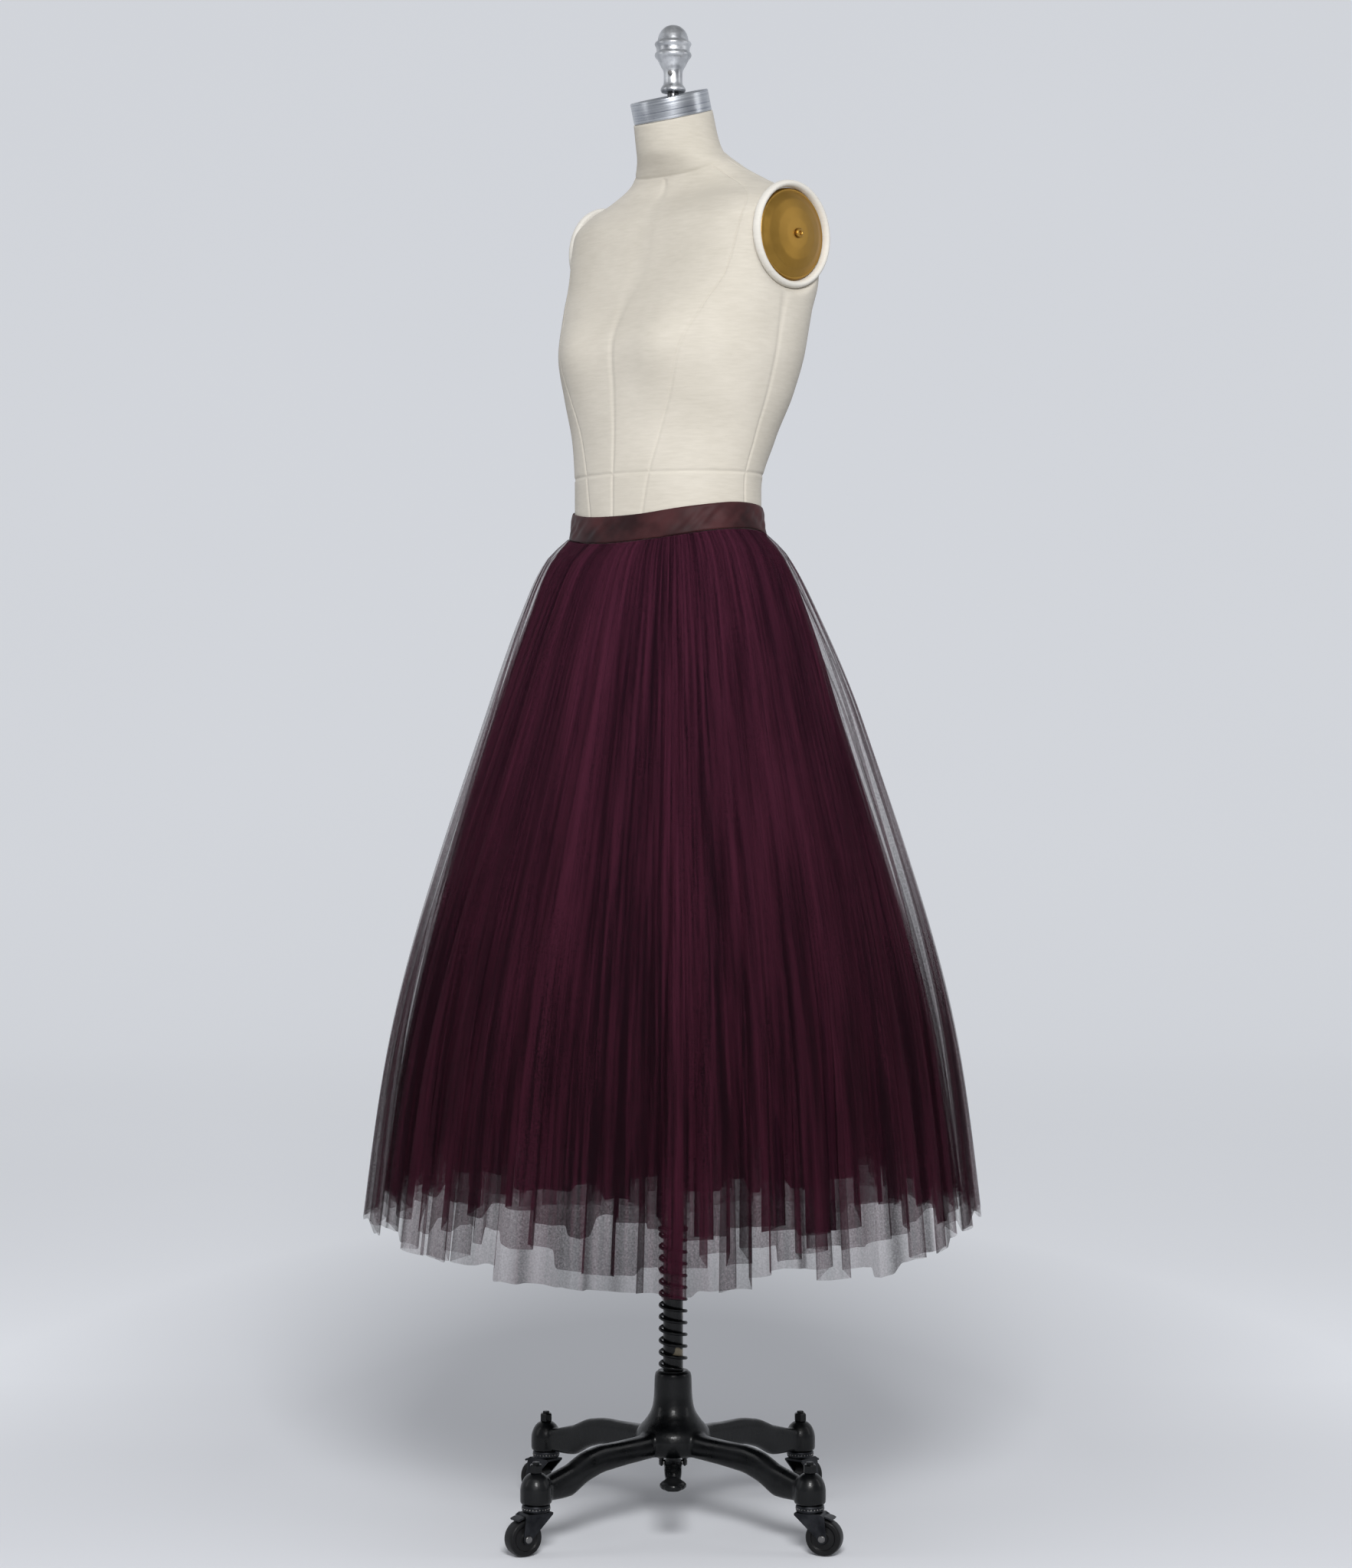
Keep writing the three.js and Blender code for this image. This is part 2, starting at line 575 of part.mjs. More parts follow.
addMesh("base_casting", toGeometry(base), BLACK_IRON);

const pedalRings = PEDAL_STATIONS.map((s) =>
  section(PEDAL_TURN, s.reach, s.z, s.width, s.thick, 2),
);
addMesh("pedal", toGeometry(toSolid(loft(pedalRings)).subtract(toSolid(pinHole))), BLACK_IRON);
const pin = pinBore(PEDAL_PIVOT.radius, 2 * PEDAL_PIVOT.halfLength);
addMesh("pedal_pin", acrossPedal(pin, PEDAL_PIVOT.reach, PEDAL_PIVOT.z), STEEL);

const post = addMesh("post", rod(POST.radius, POST.top - POST.bottom - GAP, 12), BLACK_IRON);
post.position.z = (POST.top + POST.bottom + GAP) / 2;

function tubeRing(outer, inner, bottom, top) {
  const corners = [[inner, bottom], [outer, bottom], [outer, top], [inner, top]];
  return turnedRing(corners.map(([r, z]) => ({ r, z })), 16);
}
addMesh("form_tube", tubeRing(TUBE.outer, TUBE.inner, TUBE.bottom, TUBE.top), STEEL);
addMesh("spring_seat", tubeRing(SEAT.outer, TUBE.inner, SEAT.bottom, SEAT.top), BLACK_IRON);

class Helix extends THREE.Curve {
  getPoint(t, target = new THREE.Vector3()) {
    const turn = 2 * Math.PI * SPRING.turns * t;
    const z = SPRING.bottom + (SPRING.top - SPRING.bottom) * t;
    return target.set(SPRING.radius * Math.cos(turn), -SPRING.radius * Math.sin(turn), z);
  }
}
const WIRE_SIDES = 5;
const wire = new THREE.Shape(
  Array.from({ length: WIRE_SIDES }, (_, i) => {
    const turn = (2 * Math.PI * i) / WIRE_SIDES;
    return new THREE.Vector2(SPRING.wire * Math.cos(turn), SPRING.wire * Math.sin(turn));
  }),
);
const springSteps = SPRING.turns * 8;
const spring = new THREE.ExtrudeGeometry(wire, { steps: springSteps, extrudePath: new Helix() });
addMesh("spring", spring, BLACK_IRON);

// ---------- casters ----------
// Each group's +X is the way its wheel trails, and +Z is up through the swivel.
const CASTERS = [
  { name: "front", trailTurn: THREE.MathUtils.degToRad(-102) },
  { name: "left", trailTurn: THREE.MathUtils.degToRad(27) },
  { name: "back", trailTurn: THREE.MathUtils.degToRad(100) },
  { name: "right", trailTurn: Math.PI },
];
const axleZ = WHEEL.radius * Math.cos(Math.PI / WHEEL.sides);
const NUT_PROFILE = [
  { r: NUT.radius, z: 0 },
  { r: NUT.radius, z: NUT.height - 1 },
  { r: NUT.tip, z: NUT.height },
  { r: NUT.tip, z: NUT.height + NUT.tipHeight },
];
const RACE_PROFILE = [
  { r: RACE.radius - 1.5, z: RACE.bottom },
  { r: RACE.radius, z: (RACE.bottom + RACE.top) / 2 },
  { r: RACE.radius - 1.5, z: RACE.top },
];
const tread = WHEEL.width / 2;
const WHEEL_PROFILE = [
  { r: WHEEL.bore, z: -tread },
  { r: WHEEL.radius, z: -tread },
  { r: WHEEL.radius, z: tread },
  { r: WHEEL.bore, z: tread },
];
const axleHalf = FORK.halfWidth + GAP + AXLE.headThick;
const AXLE_PROFILE = [
  { r: AXLE.head, z: -axleHalf },
  { r: AXLE.head, z: AXLE.headThick - axleHalf },
  { r: AXLE.radius, z: AXLE.headThick - axleHalf },
  { r: AXLE.radius, z: axleHalf - AXLE.headThick },
  { r: AXLE.head, z: axleHalf - AXLE.headThick },
  { r: AXLE.head, z: axleHalf },
];

function forkGeometry() {
  const top = RACE.bottom - GAP;
  const side = new THREE.Shape();
  side.moveTo(-FORK.length, top);
  side.lineTo(-FORK.length, top - FORK.plate);
  side.lineTo(TRAIL - FORK.end, axleZ - 2);
  side.absarc(TRAIL, axleZ, FORK.end, Math.PI, 2 * Math.PI, false);
  side.lineTo(FORK.length + 4, top - FORK.plate);
  side.lineTo(FORK.length, top);
  const options = { depth: 2 * FORK.halfWidth, bevelEnabled: false, curveSegments: 4 };
  const block = new THREE.ExtrudeGeometry(side, options);
  block.translate(0, 0, -FORK.halfWidth).rotateX(Math.PI / 2);
  const slotHeight = top - FORK.plate;
  const slotWidth = 2 * (FORK.halfWidth - FORK.cheek);
  const slot = new THREE.BoxGeometry(8 * FORK.length, slotWidth, slotHeight);
  slot.translate(0, 0, slotHeight / 2);
  const hole = rod(FORK.hole, 40, 10).rotateX(Math.PI / 2).translate(TRAIL, 0, axleZ);
  return toGeometry(toSolid(block).subtract(toSolid(slot)).subtract(toSolid(hole)));
}

for (const { name, trailTurn } of CASTERS) {
  const place = new THREE.Group();
  const leg = LEG_TURNS[name];
  place.position.set(CASTER_REACH * Math.cos(leg), CASTER_REACH * Math.sin(leg), 0);
  root.add(place);
  const nut = addMesh(`caster_nut_${name}`, turned(NUT_PROFILE, 6), STEEL, place);
  nut.position.z = HOUSING_PROFILE.at(-1).z + GAP;
  addMesh(`caster_race_${name}`, turned(RACE_PROFILE, 12), STEEL, place);
  const swivel = new THREE.Group();
  swivel.rotation.z = trailTurn;
  place.add(swivel);
  addMesh(`caster_fork_${name}`, forkGeometry(), BLACK_IRON, swivel);
  const hub = new THREE.Group();
  hub.position.set(TRAIL, 0, axleZ);
  hub.rotation.x = Math.PI / 2;
  swivel.add(hub);
  addMesh(`caster_axle_${name}`, turned(AXLE_PROFILE, 8), STEEL, hub);
  const wheel = addMesh(`caster_wheel_${name}`, turnedRing(WHEEL_PROFILE, WHEEL.sides), RUBBER, hub);
  wheel.rotation.z = Math.PI / WHEEL.sides;
}

export default root;
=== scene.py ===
"""A layered tulle skirt on a dress form with a wheeled cast base, dressed around the CAD frame."""

import math
from functools import reduce

import bmesh
import bpy
import numpy as np
from mathutils import Matrix, Vector


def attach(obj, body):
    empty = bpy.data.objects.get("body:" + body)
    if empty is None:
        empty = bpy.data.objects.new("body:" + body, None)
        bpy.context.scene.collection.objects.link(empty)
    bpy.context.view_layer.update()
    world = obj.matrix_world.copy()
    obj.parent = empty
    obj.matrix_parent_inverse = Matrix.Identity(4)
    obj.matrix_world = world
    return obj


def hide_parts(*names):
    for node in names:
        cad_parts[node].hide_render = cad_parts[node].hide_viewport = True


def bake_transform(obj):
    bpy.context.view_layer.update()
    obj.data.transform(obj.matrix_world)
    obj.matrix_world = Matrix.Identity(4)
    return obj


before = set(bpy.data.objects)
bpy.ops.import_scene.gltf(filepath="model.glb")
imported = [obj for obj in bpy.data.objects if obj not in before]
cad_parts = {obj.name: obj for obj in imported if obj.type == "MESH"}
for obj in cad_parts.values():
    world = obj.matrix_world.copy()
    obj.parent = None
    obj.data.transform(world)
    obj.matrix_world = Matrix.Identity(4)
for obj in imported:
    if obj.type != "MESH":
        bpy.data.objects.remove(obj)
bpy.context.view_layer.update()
MM = 0.001
GAP = 0.3  # millimetres between seated pieces, as in the solids

# ---------------------------------------------------------------- camera
CAMERA_TURN = math.radians(45)  # between the form's front (-Y) and its left (+X)
CAMERA_DISTANCE = 3.88
CAMERA_HEIGHT = 0.85
CAMERA_ASIDE = 0.0032
PHOTO_LONG_SIDE = 2047
FOCAL_PIXELS = 4606
HORIZON_ABOVE_MIDDLE = 42.7  # pixels of the photo that its horizon lies above its middle
SENSOR = 36.0


def add_object(name, data):
    thing = bpy.data.objects.new(name, data)
    bpy.context.scene.collection.objects.link(thing)
    return thing


def make_camera():
    data = bpy.data.cameras.new("camera")
    data.sensor_width = SENSOR
    data.lens = SENSOR * FOCAL_PIXELS / PHOTO_LONG_SIDE
    data.shift_y = -HORIZON_ABOVE_MIDDLE / PHOTO_LONG_SIDE
    camera = add_object("camera", data)
    back = Vector((math.sin(CAMERA_TURN), -math.cos(CAMERA_TURN), 0))
    right = Vector((math.cos(CAMERA_TURN), math.sin(CAMERA_TURN), 0))
    camera.location = back * CAMERA_DISTANCE + right * CAMERA_ASIDE + Vector((0, 0, CAMERA_HEIGHT))
    camera.rotation_euler = (math.pi / 2, 0, CAMERA_TURN)
    bpy.context.scene.camera = camera


make_camera()


# ---------------------------------------------------------------- material helpers
class Shader:
    """A node tree with short calls for the nodes that the materials here share."""

    def __init__(self, name, **settings):
        self.material = bpy.data.materials.new(name)
        self.material.use_nodes = True
        self.nodes = self.material.node_tree.nodes
        self.links = self.material.node_tree.links
        self.principled = self.nodes["Principled BSDF"]
        for key, value in settings.items():
            self.principled.inputs[key.replace("_", " ")].default_value = value
        self.place = self.nodes.new("ShaderNodeTexCoord").outputs["Object"]

    def link(self, source, target):
        self.links.new(source, target)

    def plug(self, socket, value):
        """Links another node's socket to this one, or gives it a plain value."""
        if isinstance(value, bpy.types.NodeSocket):
            self.link(value, socket)
        else:
            socket.default_value = value

    def node(self, kind, **inputs):
        """A new node of a kind, with its inputs by name."""
        node = self.nodes.new(f"ShaderNode{kind}")
        for key, value in inputs.items():
            self.plug(node.inputs[key.replace("_", " ")], value)
        return node

    def stretched(self, scale):
        return self.node("Mapping", Vector=self.place, Scale=scale).outputs["Vector"]

    def noise(self, scale, detail, roughness, vector=None):
        settings = {"Scale": scale, "Detail": detail, "Roughness": roughness}
        return self.node("TexNoise", Vector=vector or self.place, **settings).outputs["Fac"]

    def wave(self, scale, direction, distortion):
        node = self.node("TexWave", Vector=self.place, Scale=scale, Distortion=distortion)
        node.bands_direction = direction
        return node.outputs["Fac"]

    def calculate(self, kind, operation, values):
        """The outputs of a maths node of a kind, on plain values or other nodes' sockets."""
        node = self.node(kind)
        node.operation = operation
        for socket, value in zip(node.inputs, values):
            self.plug(socket, value)
        return node.outputs

    def math(self, operation, *values):
        return self.calculate("Math", operation, values)["Value"]

    def vector_math(self, operation, *values):
        return self.calculate("VectorMath", operation, values)["Vector"]

    def weighted(self, *pairs):
        """The sum of some values, each times its own weight."""
        parts = [self.math("MULTIPLY", value, weight) for value, weight in pairs]
        return reduce(lambda total, part: self.math("ADD", total, part), parts)

    def fall(self, drop):
        """Coordinates that change round the pole but hardly down it: the streaks of hanging cloth."""
        flat = self.vector_math("MULTIPLY", self.place, (1, 1, 0))
        down = self.vector_math("MULTIPLY", self.place, (0, 0, drop))
        return self.vector_math("ADD", self.vector_math("NORMALIZE", flat), down)

    def along(self, direction):
        """The distance in metres along a direction from the origin."""
        return self.calculate("VectorMath", "DOT_PRODUCT", (self.place, direction))["Value"]

    def height(self):
        return self.node("SeparateXYZ", Vector=self.place).outputs["Z"]

    def brushed(self, tilt, across, along):
        """Coordinates for streaks round a piece whose axis tilts back by an angle."""
        scale = (1 / across, 1 / across, 1 / along)
        node = self.node("Mapping", Vector=self.place, Rotation=(tilt, 0, 0), Scale=scale)
        node.vector_type = "TEXTURE"
        return node.outputs["Vector"]

    def attribute(self, name):
        node = self.node("Attribute")
        node.attribute_name = name
        return node.outputs["Fac"]

    def spread(self, value, low, high, out_low=0.0, out_high=1.0):
        limits = {"From_Min": low, "From_Max": high, "To_Min": out_low, "To_Max": out_high}
        return self.node("MapRange", Value=value, **limits).outputs["Result"]

    def mix(self, factor, a, b):
        node = self.node("Mix")
        node.data_type = "RGBA"
        for key, value in (("Factor", factor), ("A", a), ("B", b)):
            self.plug(node.inputs[key], (*value, 1.0) if isinstance(value, tuple) else value)
        return node.outputs["Result"]

    def set(self, socket, value):
        self.link(value, self.principled.inputs[socket])

    def bump(self, height, strength, distance, under=None):
        node = self.node("Bump", Strength=strength, Distance=distance, Height=height)
        if under:
            self.link(under, node.inputs["Normal"])
        self.set("Normal", node.outputs["Normal"])
        return node.outputs["Normal"]


def srgb(red, green, blue):
    """A linear colour from 0 to 255 display values."""
    return tuple(((c / 255 + 0.055) / 1.055) ** 2.4 if c > 10 else c / 3294.6 for c in (red, green, blue))


def tulle_material(name, cover, low_dark, low_light, high_dark, high_light):
    """Sheer net that hangs in streaks down its fall, denser where a fold stands edge on and darkened there
    with painted shade.
    """
    tint = (*srgb(160, 88, 112), 1)
    sheen = {"Sheen_Weight": 0.08, "Sheen_Roughness": 0.6, "Sheen_Tint": tint}
    shader = Shader(name, Roughness=0.8, Specular_IOR_Level=0.04, **sheen)
    fall = shader.fall(0.09)
    streak = shader.noise(52.0, 4, 0.66, fall)
    bands = shader.noise(5.5, 2, 0.5, fall)
    grain = shader.noise(520.0, 1, 0.5)
    crease_density_and_shade = shader.attribute("crease_density_and_shade")
    shade = shader.spread(shader.weighted((streak, 0.5), (bands, 0.25), (grain, 0.25)), 0.43, 0.58)
    # Painted shade: the net's colour is made darker where a fold stands edge on.
    tone = shader.math("SUBTRACT", shade, shader.math("MULTIPLY", crease_density_and_shade, 0.8))
    height = shader.spread(shader.height(), 0.5, 1.05)
    dark = shader.mix(height, low_dark, high_dark)
    light = shader.mix(height, low_light, high_light)
    shader.set("Base Color", shader.mix(tone, dark, light))
    if cover < 1:
        swing = 0.9 * cover * (1 - cover)
        density = shader.weighted((streak, 0.4), (grain, 0.6))
        sheet = shader.spread(density, 0.35, 0.65, cover + swing * 0.5, cover - swing * 0.5)
        edges = shader.math("MULTIPLY", crease_density_and_shade, 0.6 * (1 - cover))
        shader.set("Alpha", shader.math("ADD", sheet, edges))
    return shader.material


# ---------------------------------------------------------------- mesh helpers
def shade_smooth(mesh, smooth=True):
    mesh.polygons.foreach_set("use_smooth", [smooth] * len(mesh.polygons))


def mesh_object(name, points, faces, material):
    """A smooth piece from points in metres."""
    mesh = bpy.data.meshes.new(name)
    mesh.from_pydata([tuple(p) for p in points], [], [tuple(f) for f in faces])
    mesh.update()
    shade_smooth(mesh)
    mesh.materials.append(material)
    return add_object(name, mesh)


def edit(thing, work):
    """Runs work(bmesh) on a thing's mesh."""
    shape = bmesh.new()
    shape.from_mesh(thing.data)
    work(shape)
    shape.to_mesh(thing.data)
    shape.free()


def outward(thing):
    edit(thing, lambda shape: bmesh.ops.recalc_face_normals(shape, faces=shape.faces))


def turn_inside(thing):
    outward(thing)
    edit(thing, lambda shape: bmesh.ops.reverse_faces(shape, faces=shape.faces))


def solid(name, points, faces, material, matrix=None):
    """A closed piece from points in millimetres, moved by a matrix."""
    thing = mesh_object(name, np.array(points) * MM, faces, material)
    outward(thing)
    if matrix is not None:
        thing.data.transform(matrix)
    return thing


def grid_faces(rows, columns, closed=False):
    """Quads over a grid of rows and columns of points, closed round the columns if asked."""
    wide = columns if closed else columns - 1
    r, c = np.meshgrid(np.arange(rows - 1), np.arange(wide), indexing="ij")
    n = (c + 1) % columns
    quads = np.stack([r * columns + c, (r + 1) * columns + c, (r + 1) * columns + n, r * columns + n], -1)
    return quads.reshape(-1, 4)


def tube_faces(rows, sides):
    """Quads round a tube of rings, with one face over each end."""
    ends = [tuple(range(sides)), tuple(range((rows - 1) * sides, rows * sides))]
    return grid_faces(rows, sides, True).tolist() + ends


def round_turns(sides):
    """Turns all round, evenly apart."""
    return np.linspace(0, 2 * math.pi, sides, endpoint=False)


def powered(wave, power):
    """The wave's size raised to a power, with its sign kept."""
    return np.sign(wave) * np.abs(wave) ** power


# ---------------------------------------------------------------- skirt
PLEATS = 40
WAIST_TILT = -2
WAIST_SADDLE = 8
HEM_DIP = 18.5
HEM_DIP_TURN = -math.pi / 4
# Rows of the skirt from the band down, in millimetres, as the solids have them
SKIRT_ROWS = {
    "z": [1080.5, 1062, 1000, 880, 530, 300],
    "width": [111.2, 133, 166, 215, 321, 353],
    "round": [0.73, 0.75, 0.8, 0.87, 0.97, 1],
    "pleat": [0, 2, 3, 5.5, 9, 11],
    "sweep": [0, 0.3, 1, 3.5, 7, 9],
    "step": [1.7, 2, 3.4, 5, 6, 6],
    "tilt": [1, 0.8, 0.5, 0, 0, 0],
    "shift": [-9, -10, -7, 0, 2, 2],
    "sail": [0, 4, 10, 22, 21, 13],
    "lull": [0, 4, 6, 4, 14, 14],
}


def waist_rise(turn):
    """How much higher than its mean height the waist lies at a turn."""
    return WAIST_TILT * np.sin(turn) + WAIST_SADDLE * np.cos(2 * turn)


def monotone_curve(x, y, at):
    """Heights at the places of a smooth curve through (x, y) that doesn't overshoot, and its end slope."""
    x, y = np.array(x, float), np.array(y, float)
    slope = np.diff(y) / np.diff(x)
    before, after = slope[:-1], slope[1:]
    inner = np.where(before * after > 0, 2 * before * after / (before + after + 1e-12), 0)
    tangent = np.concatenate([[slope[0]], inner, [slope[-1]]])
    i = np.clip(np.searchsorted(x, at) - 1, 0, len(x) - 2)
    h = x[i + 1] - x[i]
    t = (at - x[i]) / h
    value = (
        (2 * t**3 - 3 * t**2 + 1) * y[i]
        + (t**3 - 2 * t**2 + t) * h * tangent[i]
        + (3 * t**2 - 2 * t**3) * y[i + 1]
        + (t**3 - t**2) * h * tangent[i + 1]
    )
    return value, tangent[-1]


def smooth_rows(key, z):
    """The skirt table's column at each height, carried straight on below its last row."""
    x = [-height for height in SKIRT_ROWS["z"]]
    at = np.clip(-z, x[0], x[-1])
    value, end_slope = monotone_curve(x, SKIRT_ROWS[key], at)
    return value + (-z - at) * end_slope


def pleat_turn(u):
    broad = np.sin(6 * u + 1) - math.sin(1)
    return u + 0.03 * broad + 0.016 * np.sin(11 * u)


def wobble(u, waves, seed):
    """A smooth round function of the turn, about -1 to 1, from a few chosen waves."""
    random = np.random.default_rng(seed)
    phases = random.uniform(0, 2 * math.pi, len(waves))
    weights = random.uniform(0.6, 1.0, len(waves))
    total = sum(w * np.sin(n * u + p) for n, p, w in zip(waves, phases, weights))
    return total / weights.sum() * 1.6


def ease(low, high, x):
    t = np.clip((x - low) / (high - low), 0, 1)
    return t * t * (3 - 2 * t)


# The five layers from the outside in. cover is how much of the ground the net hides; jog is how
# much one panel of cloth hangs below the next, in millimetres; columns are counted to a panel.
LAYERS = [
    {"hem": 328, "cover": 0.3, "jog": 11, "columns": 12, "rows": 76, "seed": 21, "tone": "sheer"},
    {"hem": 355, "cover": 0.46, "jog": 14, "columns": 10, "rows": 68, "seed": 35, "tone": "sheer"},
    {"hem": 385, "cover": 0.68, "jog": 15, "columns": 9, "rows": 56, "seed": 47, "tone": "dense"},
    {"hem": 427, "cover": 0.93, "jog": 14, "columns": 7, "rows": 48, "seed": 58, "tone": "dense"},
    {"hem": 458, "cover": 1.0, "jog": 10, "columns": 6, "rows": 44, "seed": 69, "tone": "dense"},
]
PANELS = 2 * PLEATS  # a panel is a crest or a trough, with a fold at each side of it
BROAD_PANELS = {"turn": -1.07, "spread": 0.24}  # where the outer layer hangs in wide plain panels
SAIL_TURN = math.pi / 4  # where the outermost layer stands off the others
SAIL_SPREAD = 0.5


def panel_columns(per_panel):
    """Places along the cloth, in panels, closer together at the folds."""
    step = np.arange(PANELS * per_panel + 1) / per_panel
    return step + 0.5 * np.sin(2 * math.pi * step) / (2 * math.pi)


def by_panel(values, place, turning):
    """Each panel's own value, changing within the fold between two panels."""
    low = np.floor(place + 1e-9).astype(int)
    share = ease(0.5 - turning, 0.5 + turning, place - low)
    return values[low % PANELS] * (1 - share) + values[(low + 1) % PANELS] * share


def by_fold(values, place):
    """The value of the fold that each place is nearest to."""
    return values[np.floor(place + 1e-9).astype(int) % PANELS]


def apart(a, b):
    return np.abs((a - b + math.pi) % (2 * math.pi) - math.pi)


def layer_surface(index):
    """Points of a whole layer, rows by columns, in metres, and how edge on each one stands, which the net's
    shader turns into density and painted shade.
    """
    layer = LAYERS[index]
    random = np.random.default_rng(layer["seed"])
    place = panel_columns(layer["columns"])[None, :]
    v = np.linspace(0, 1, layer["rows"])[:, None]
    phase = math.pi * place
    u = phase / PLEATS
    turn = pleat_turn(u)
    plain = np.exp(-((apart(turn, BROAD_PANELS["turn"]) / BROAD_PANELS["spread"]) ** 2)) * (index == 0)

    # The hem: a slow swing round the skirt, and each panel longer or shorter than the next
    jogs = random.uniform(-1, 0.8, PANELS) * layer["jog"]
    slants = random.uniform(-5, 5, PANELS)
    slant = by_panel(slants, place, 0.2) * np.sin(math.pi * (place % 2)) * np.where(place % 2 < 1, 1, -1)
    swing = 5 * wobble(u, [3, 5, 8], layer["seed"])
    hem = layer["hem"] - HEM_DIP * np.cos(2 * (turn - HEM_DIP_TURN)) + swing
    hem = hem + (by_panel(jogs, place, 0.16) + slant * 0.5) * (1 - 0.7 * plain) - 7 * plain
    top = SKIRT_ROWS["z"][0]
    z = top + (hem - top) * v

    # Folds: soft and uneven above, deep and lapping over themselves towards the hem
    strength = by_panel(random.uniform(0.15, 1.0, PANELS), place, 0.4)
    strength = strength + (1 - strength) * ease(0.45, 1.0, v) * 0.7
    depth = smooth_rows("pleat", z) * (0.86 + 0.14 * np.sin(13 * u + 0.4)) * strength * (1 - 0.5 * plain)
    crest = np.cos(phase)
    fold = depth * powered(crest, 0.8) - smooth_rows("pleat", z)
    laps = random.uniform(0.0, 4.2, PANELS) * (random.uniform(0, 1, PANELS) > 0.2)
    lap = by_fold(laps, place) * ease(0.3, 1.0, v) * (1 - 0.75 * plain)
    across = lap * np.sin(2 * phase) / PANELS
    crowd = ease(0.2, 1, v) * (0.010 * np.sin(23 * u + layer["seed"]) + 0.008 * np.sin(31 * u + 2 * index))
    drift = 0.012 * ease(0.1, 1, v) * wobble(u + 0.2 * v, [3, 5, 8], layer["seed"] + 1)
    forward = 1 + lap * np.cos(2 * phase)
    # How edge on the cloth stands where it laps back: the net is made denser there and darkened with painted
    # shade.
    crease_density_and_shade = np.exp(-((forward / 0.9) ** 2)) * ease(0.35, 0.8, v)
    sweep = smooth_rows("sweep", z) * 0.5 * (0.6 * np.sin(5 * u + 0.7) + 0.4 * np.sin(9 * u + 2.1) - 1)

    # Fine gathers below the band that open into longer creases
    fine = 0.8 * np.exp(-(((v - 0.05) / 0.11) ** 2)) * ease(0, 0.03, v)
    middle = 2.2 * np.exp(-(((v - 0.32) / 0.3) ** 2))
    creases = fine * wobble(u, [163, 187, 211, 239], layer["seed"] + 2)
    creases = creases + middle * wobble(u + 0.01 * v, [52, 67, 83, 97], layer["seed"] + 3)

    sail = smooth_rows("sail", z) * np.exp(-((apart(turn, SAIL_TURN) / SAIL_SPREAD) ** 2))
    lull = smooth_rows("lull", z) * np.exp(-((apart(turn, SAIL_TURN + math.pi) / SAIL_SPREAD) ** 2))
    inset = index * smooth_rows("step", z) + 0.6 + (sail + lull) * (index > 0)
    offset = fold + sweep + creases - inset - 0.8
    # The surface's outward direction down the flare
    slope = (smooth_rows("width", z - 2) - smooth_rows("width", z + 2)) / 4
    length = np.sqrt(1 + slope**2)
    near_top = ease(0.0, 0.03, v)
    out = 1 - near_top + near_top / length
    down = near_top * slope / length
    turn = turn + across + crowd + drift
    width, roundness = smooth_rows("width", z), smooth_rows("round", z)
    half_x = width * np.sqrt(2 / (1 + roundness**2))
    x = (half_x + offset * out) * np.cos(turn)
    y = smooth_rows("shift", z) + (half_x * roundness + offset * out) * np.sin(turn)
    height = z + smooth_rows("tilt", z) * waist_rise(turn) - inset * down
    return np.stack([x, y, height], -1) * MM, crease_density_and_shade


# Dark and light colours of the net, at the hem and at the band
TONES = {
    "sheer": (srgb(24, 9, 16), srgb(72, 30, 46), srgb(32, 12, 23), srgb(86, 38, 57)),
    "dense": (srgb(11, 3, 8), srgb(37, 12, 24), srgb(21, 8, 17), srgb(70, 32, 53)),
}


def make_skirt():
    for index, layer in enumerate(LAYERS):
        net = tulle_material(f"tulle_{index + 1}", layer["cover"], *TONES[layer["tone"]])
        points, crease_density_and_shade = layer_surface(index)
        half = points.shape[1] // 2
        for side, part in (("back", slice(0, half + 1)), ("front", slice(half, None))):
            name = f"tulle_{index + 1}_{side}"
            grid = points[:, part]
            faces = grid_faces(layer["rows"], half + 1)
            cloth = mesh_object(f"{name}_cloth", grid.reshape(-1, 3), faces, net)
            edge_on = cloth.data.attributes.new("crease_density_and_shade", "FLOAT", "POINT")
            edge_on.data.foreach_set("value", crease_density_and_shade[:, part].ravel())
            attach(cloth, "form")
            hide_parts(name)


make_skirt()


# ---------------------------------------------------------------- other materials
def satin_material():
    shader = Shader("band_satin", Specular_IOR_Level=0.14, Sheen_Weight=0.03, Sheen_Roughness=0.4)
    drag = shader.noise(1.0, 3, 0.5, shader.stretched((24, 24, 30)))
    thread = shader.wave(420, "Z", 0.6)
    shader.set("Base Color", shader.mix(shader.spread(drag, 0.38, 0.66), srgb(37, 18, 20), srgb(66, 35, 37)))
    shader.set("Roughness", shader.spread(drag, 0.3, 0.7, 0.46, 0.6))
    shader.bump(thread, 0.1, 0.0004, shader.bump(drag, 0.35, 0.003))
    return shader.material


def linen_material(name, low, high, weave=620):
    shader = Shader(name, Specular_IOR_Level=0.2, Sheen_Weight=0.12)
    warp = shader.wave(weave, "Z", 1.6)
    weft = shader.wave(weave, "DIAGONAL", 1.6)
    slub = shader.noise(1.0, 3, 0.6, shader.stretched((60, 60, 420)))
    age = shader.noise(5.0, 4, 0.55)
    cloth = shader.weighted((warp, 0.5), (weft, 0.5))
    tone = shader.weighted((age, 0.75), (slub, 0.25))
    shader.set("Base Color", shader.mix(shader.spread(tone, 0.35, 0.65), low, high))
    shader.set("Roughness", shader.spread(cloth, 0, 1, 0.82, 0.93))
    shader.bump(cloth, 0.18, 0.0005, shader.bump(slub, 0.2, 0.0008))
    return shader.material


